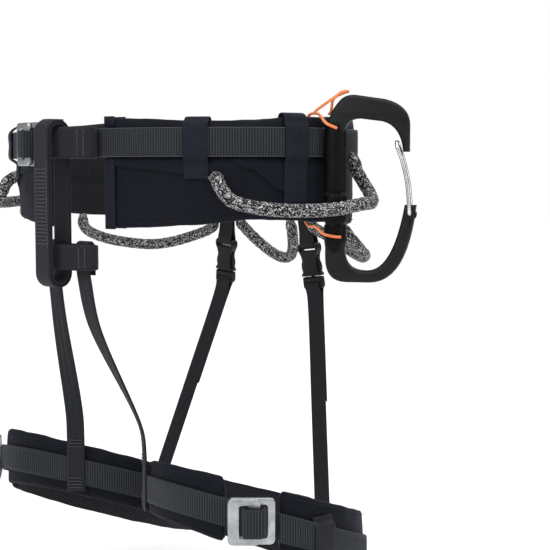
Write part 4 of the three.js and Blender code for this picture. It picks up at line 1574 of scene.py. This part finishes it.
def stem_sleeve():
    """The turned part of the stem, with a ring groove at each joint and soft beads between."""
    profile = [
        (34, 5.0), (31, 6.9), (27, 7.7), (20, 8.1), (4, 8.1), (3, 7.9), (2, 8.1), (-12, 8.1),
        (-14.5, 8.0), (-15.6, 7.1), (-16.6, 7.1), (-17.6, 7.9), (-20, 8.1), (-24, 7.85),
        (-27, 8.0), (-30, 7.8), (-33, 8.0), (-35.4, 7.8), (-36.4, 7.0), (-37.2, 7.0),
        (-38, 7.8), (-44, 7.9), (-49, 7.7), (-54, 7.0), (-58, 5.2),
    ]
    rings = [
        [carrier_point(r * math.cos(turn), 0.78 * r * math.sin(turn), z) for turn in turns(28)]
        for z, r in even_line([Vector(row) for row in profile], 0.7)
    ]
    # Its material is the darkened copy of the black plastic, which is painted shade on the stem.
    sweep("carrier_stem", rings, STEM_PLASTIC_SHADED, "carrier")


def carrier():
    pivot_x, pivot_z = GATE_PIVOT
    pivot = [(pivot_x + 1.6 * math.cos(a), pivot_z + 1.6 * math.sin(a)) for a in turns(16)]
    piece = plate(
        "carrier_frame", carrier_outline(), [pivot], CARRIER_THICKNESS, 2.6, PLASTIC, "carrier",
        lambda along, z, height: carrier_point(along, height - CARRIER_THICKNESS / 2, z),
    )
    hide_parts("carrier_body")
    stem_sleeve()
    for across in (-1, 1):
        collar = [
            [carrier_point(pivot_x + r * math.cos(t), across * depth, pivot_z + r * math.sin(t))
             for t in turns(20)]
            for r, depth in ((3.6, 4.0), (3.6, 4.9), (3.2, 5.3), (2.4, 5.4), (1.5, 5.2))
        ]
        sweep(f"carrier_pivot_boss_{'near' if across < 0 else 'far'}", collar, PLASTIC, "carrier")
    carrier_gate()
    carrier_elastic()


def carrier_gate():
    half = [
        (51.5, 2.2, -30), (51.5, 4.4, -30), (51.5, 5.9, -29.3), (51.4, 6.4, -27),
        (50, 6.4, -10), (46.5, 6.4, 6), (43, 6.4, 16), (42.4, 4.6, 18.6), (42.3, 2.5, 19),
    ]
    knots = [carrier_point(x, -y, z) for x, y, z in half]
    knots += [carrier_point(x, y, z) for x, y, z in reversed(half)]
    line = smooth_line(knots, 0.8)
    piece = tube("carrier_gate_wire", line, GATE_WIRE_RADIUS, STEEL, "gate", 14)
    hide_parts("carrier_gate")


def carrier_elastic():
    inside = -PAD_THICKNESS - 1.6
    cord = [
        carrier_point(2, -6.2, 28.3), carrier_point(-5, -7.2, 31.5),
        *(WAIST.point(LEFT, *spot) for spot in (
            (-7, 2.2, 36.9), (-6.6, -1.5, 38.6), (-6.4, -10, 38.6), (-6.6, inside, 34.5),
            (-7, inside, 12), (-7.4, inside, -12), (-7.8, inside, -33), (-8, -9, -38.4),
            (-8.2, -1.5, -39.1), (-8.3, 3.5, -41), (-8.2, 8, -43.6),
        )),
        carrier_point(1, -7.2, -45.4), carrier_point(5, -6.2, -45.6),
    ]
    loop = [
        WAIST.point(LEFT, -8.8, -1.5, 38.8), WAIST.point(LEFT, -8.2, 2, 41.6),
        carrier_point(0.5, -6.4, 49.5), carrier_point(5, -5, 52.9), carrier_point(8.5, 0, 53.4),
        carrier_point(5, 5, 52.9), carrier_point(-2.5, 6.2, 49),
        WAIST.point(LEFT, -1.2, 1.5, 40.5), WAIST.point(LEFT, -0.5, -1.5, 38.8),
    ]
    hold = WAIST.point(LEFT, -8, 1, 0)
    for name, knots in (("carrier_elastic_cord", cord), ("carrier_elastic_loop", loop)):
        line = smooth_line(knots, 0.7)
        piece = tube(f"{name}_braid", line, ELASTIC_RADIUS, ORANGE, None, 10)
        (hold + WAIST.normal(LEFT, -8) * 8) * MM
        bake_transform(piece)
        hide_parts(name)


# ------------------------------------------------------------------ camera, light, floor


def floor():
    look = Look("pale_floor", "tape", 0.9)
    grain = look.noise(look.space(), 60, 3, 0.5)
    look.colour(look.ramp(grain, ((0.3, (0.88, 0.88, 0.88)), (0.7, (0.9, 0.9, 0.9)))))
    mesh = bpy.data.meshes.new("floor")
    corners = ((-1, -1), (1, -1), (1, 1), (-1, 1))
    points = [(x * FLOOR_HALF, y * FLOOR_HALF, FLOOR_HEIGHT) for x, y in corners]
    mesh.from_pydata(points, [], [(0, 1, 2, 3)])
    mesh.materials.append(look.material)
    add_object("floor", mesh)


def area_light(name, place, size, power):
    data = bpy.data.lights.new(name, "AREA")
    data.shape = "RECTANGLE"
    data.size, data.size_y = size
    data.energy = power
    lamp = add_object(name, data)
    lamp.location = place
    lamp.rotation_euler = (-Vector(place)).to_track_quat("-Z", "Y").to_euler()


def light():
    world = bpy.data.worlds.new("studio")
    world.use_nodes = True
    nodes, links = world.node_tree.nodes, world.node_tree.links
    nodes["Background"].inputs["Color"].default_value = (1, 1, 1, 1)
    seen = nodes.new("ShaderNodeLightPath")
    strength = nodes.new("ShaderNodeMapRange")
    strength.inputs["To Min"].default_value = AMBIENT
    strength.inputs["To Max"].default_value = 1.0
    links.new(seen.outputs["Is Camera Ray"], strength.inputs["Value"])
    links.new(strength.outputs["Result"], nodes["Background"].inputs["Strength"])
    bpy.context.scene.world = world
    sun = bpy.data.lights.new("sky_panel", "SUN")
    sun.energy = 2.6
    sun.angle = math.radians(70)
    lamp = add_object("sky_panel", sun)
    lamp.rotation_euler = (math.radians(14), math.radians(16), 0)
    area_light("key", (0.1, -1.7, 0.9), (0.7, 1.1), 14)
    area_light("side", (2.0, 0.1, 0.5), (0.5, 1.4), 7)
    area_light("back", (-0.2, 1.7, 1.0), (1.0, 0.6), 9)
    bpy.context.scene.view_settings.view_transform = "Standard"


def camera():
    """The photograph's viewpoint: round from the front, looking a little down."""
    turn, dip = math.radians(VIEW_TURN), math.radians(VIEW_DIP)
    right = Vector((math.cos(turn), math.sin(turn), 0))
    away = Vector((-math.sin(turn), math.cos(turn), 0))
    data = bpy.data.cameras.new("camera")
    data.sensor_width = 36
    data.lens = VIEW_LENS
    view = add_object("camera", data)
    view.location = (right * VIEW_SHIFT - away * VIEW_DISTANCE) * MM
    ahead = away * math.cos(dip) - UP * math.sin(dip)
    view.rotation_euler = ahead.to_track_quat("-Z", "Y").to_euler()
    bpy.context.scene.camera = view


# ------------------------------------------------------------------ the whole scene

camera()
light()
floor()

waist_pad()
hems("waist_hem_stitches", WAIST, LEFT, WAIST_END + 4, 176 - WAIST_END, 0.17)
waist_webbing()
ladder_buckle(WAIST, RIGHT, WAIST_BUCKLE_ANGLE, 1, "waist")
tie_in_ring("tie_in_ring_upper", 8, 30)
tie_in_ring("tie_in_ring_lower", -70, -52)
belay_loop()
for side, label in SIDES:
    layers = 2 if side == RIGHT else 1
    waist_keeper(side, label, "front", *FRONT_KEEPER, layers)
    waist_keeper(side, label, "hip", *HIP_KEEPER, 1)
    waist_panel(f"waist_yoke_{label}", side, YOKE_FROM, YOKE_TO, YOKE_LINE, (False, True))
    waist_panel(f"hip_panel_{label}", side, HIP_FROM, HIP_TO, HIP_LINE, (True, True))
    end_binding(side, label)
    bridge_strap(side, label)
    leg_pad(side, label)
    hems(f"leg_hem_{label}_stitches", LEG, side, LEG_PAD_FROM + 3, LEG_PAD_TO - 3, 0.24)
    ribbed_web(LEG, side, f"leg_webbing_{label}_weave", f"leg_webbing_{label}",
               LEG_PAD_FROM - 8.3, LEG_PAD_TO + 8.3, WEB_IN, WEB_THICKNESS, 4)
    ribbed_web(LEG, side, f"leg_tail_{label}_weave", f"leg_webbing_tail_{label}",
               LEG_PAD_FROM - 1, LEG_PAD_FROM + 49.8, WEB_IN + TAIL_LIFT, TAIL_THICKNESS, 4)
    leg_keeper(side, label)
    ladder_buckle(LEG, side, LEG_BUCKLE_ANGLE, side, "leg", f"_{label}")
    riser(side, label)
gear_loops()
carrier()
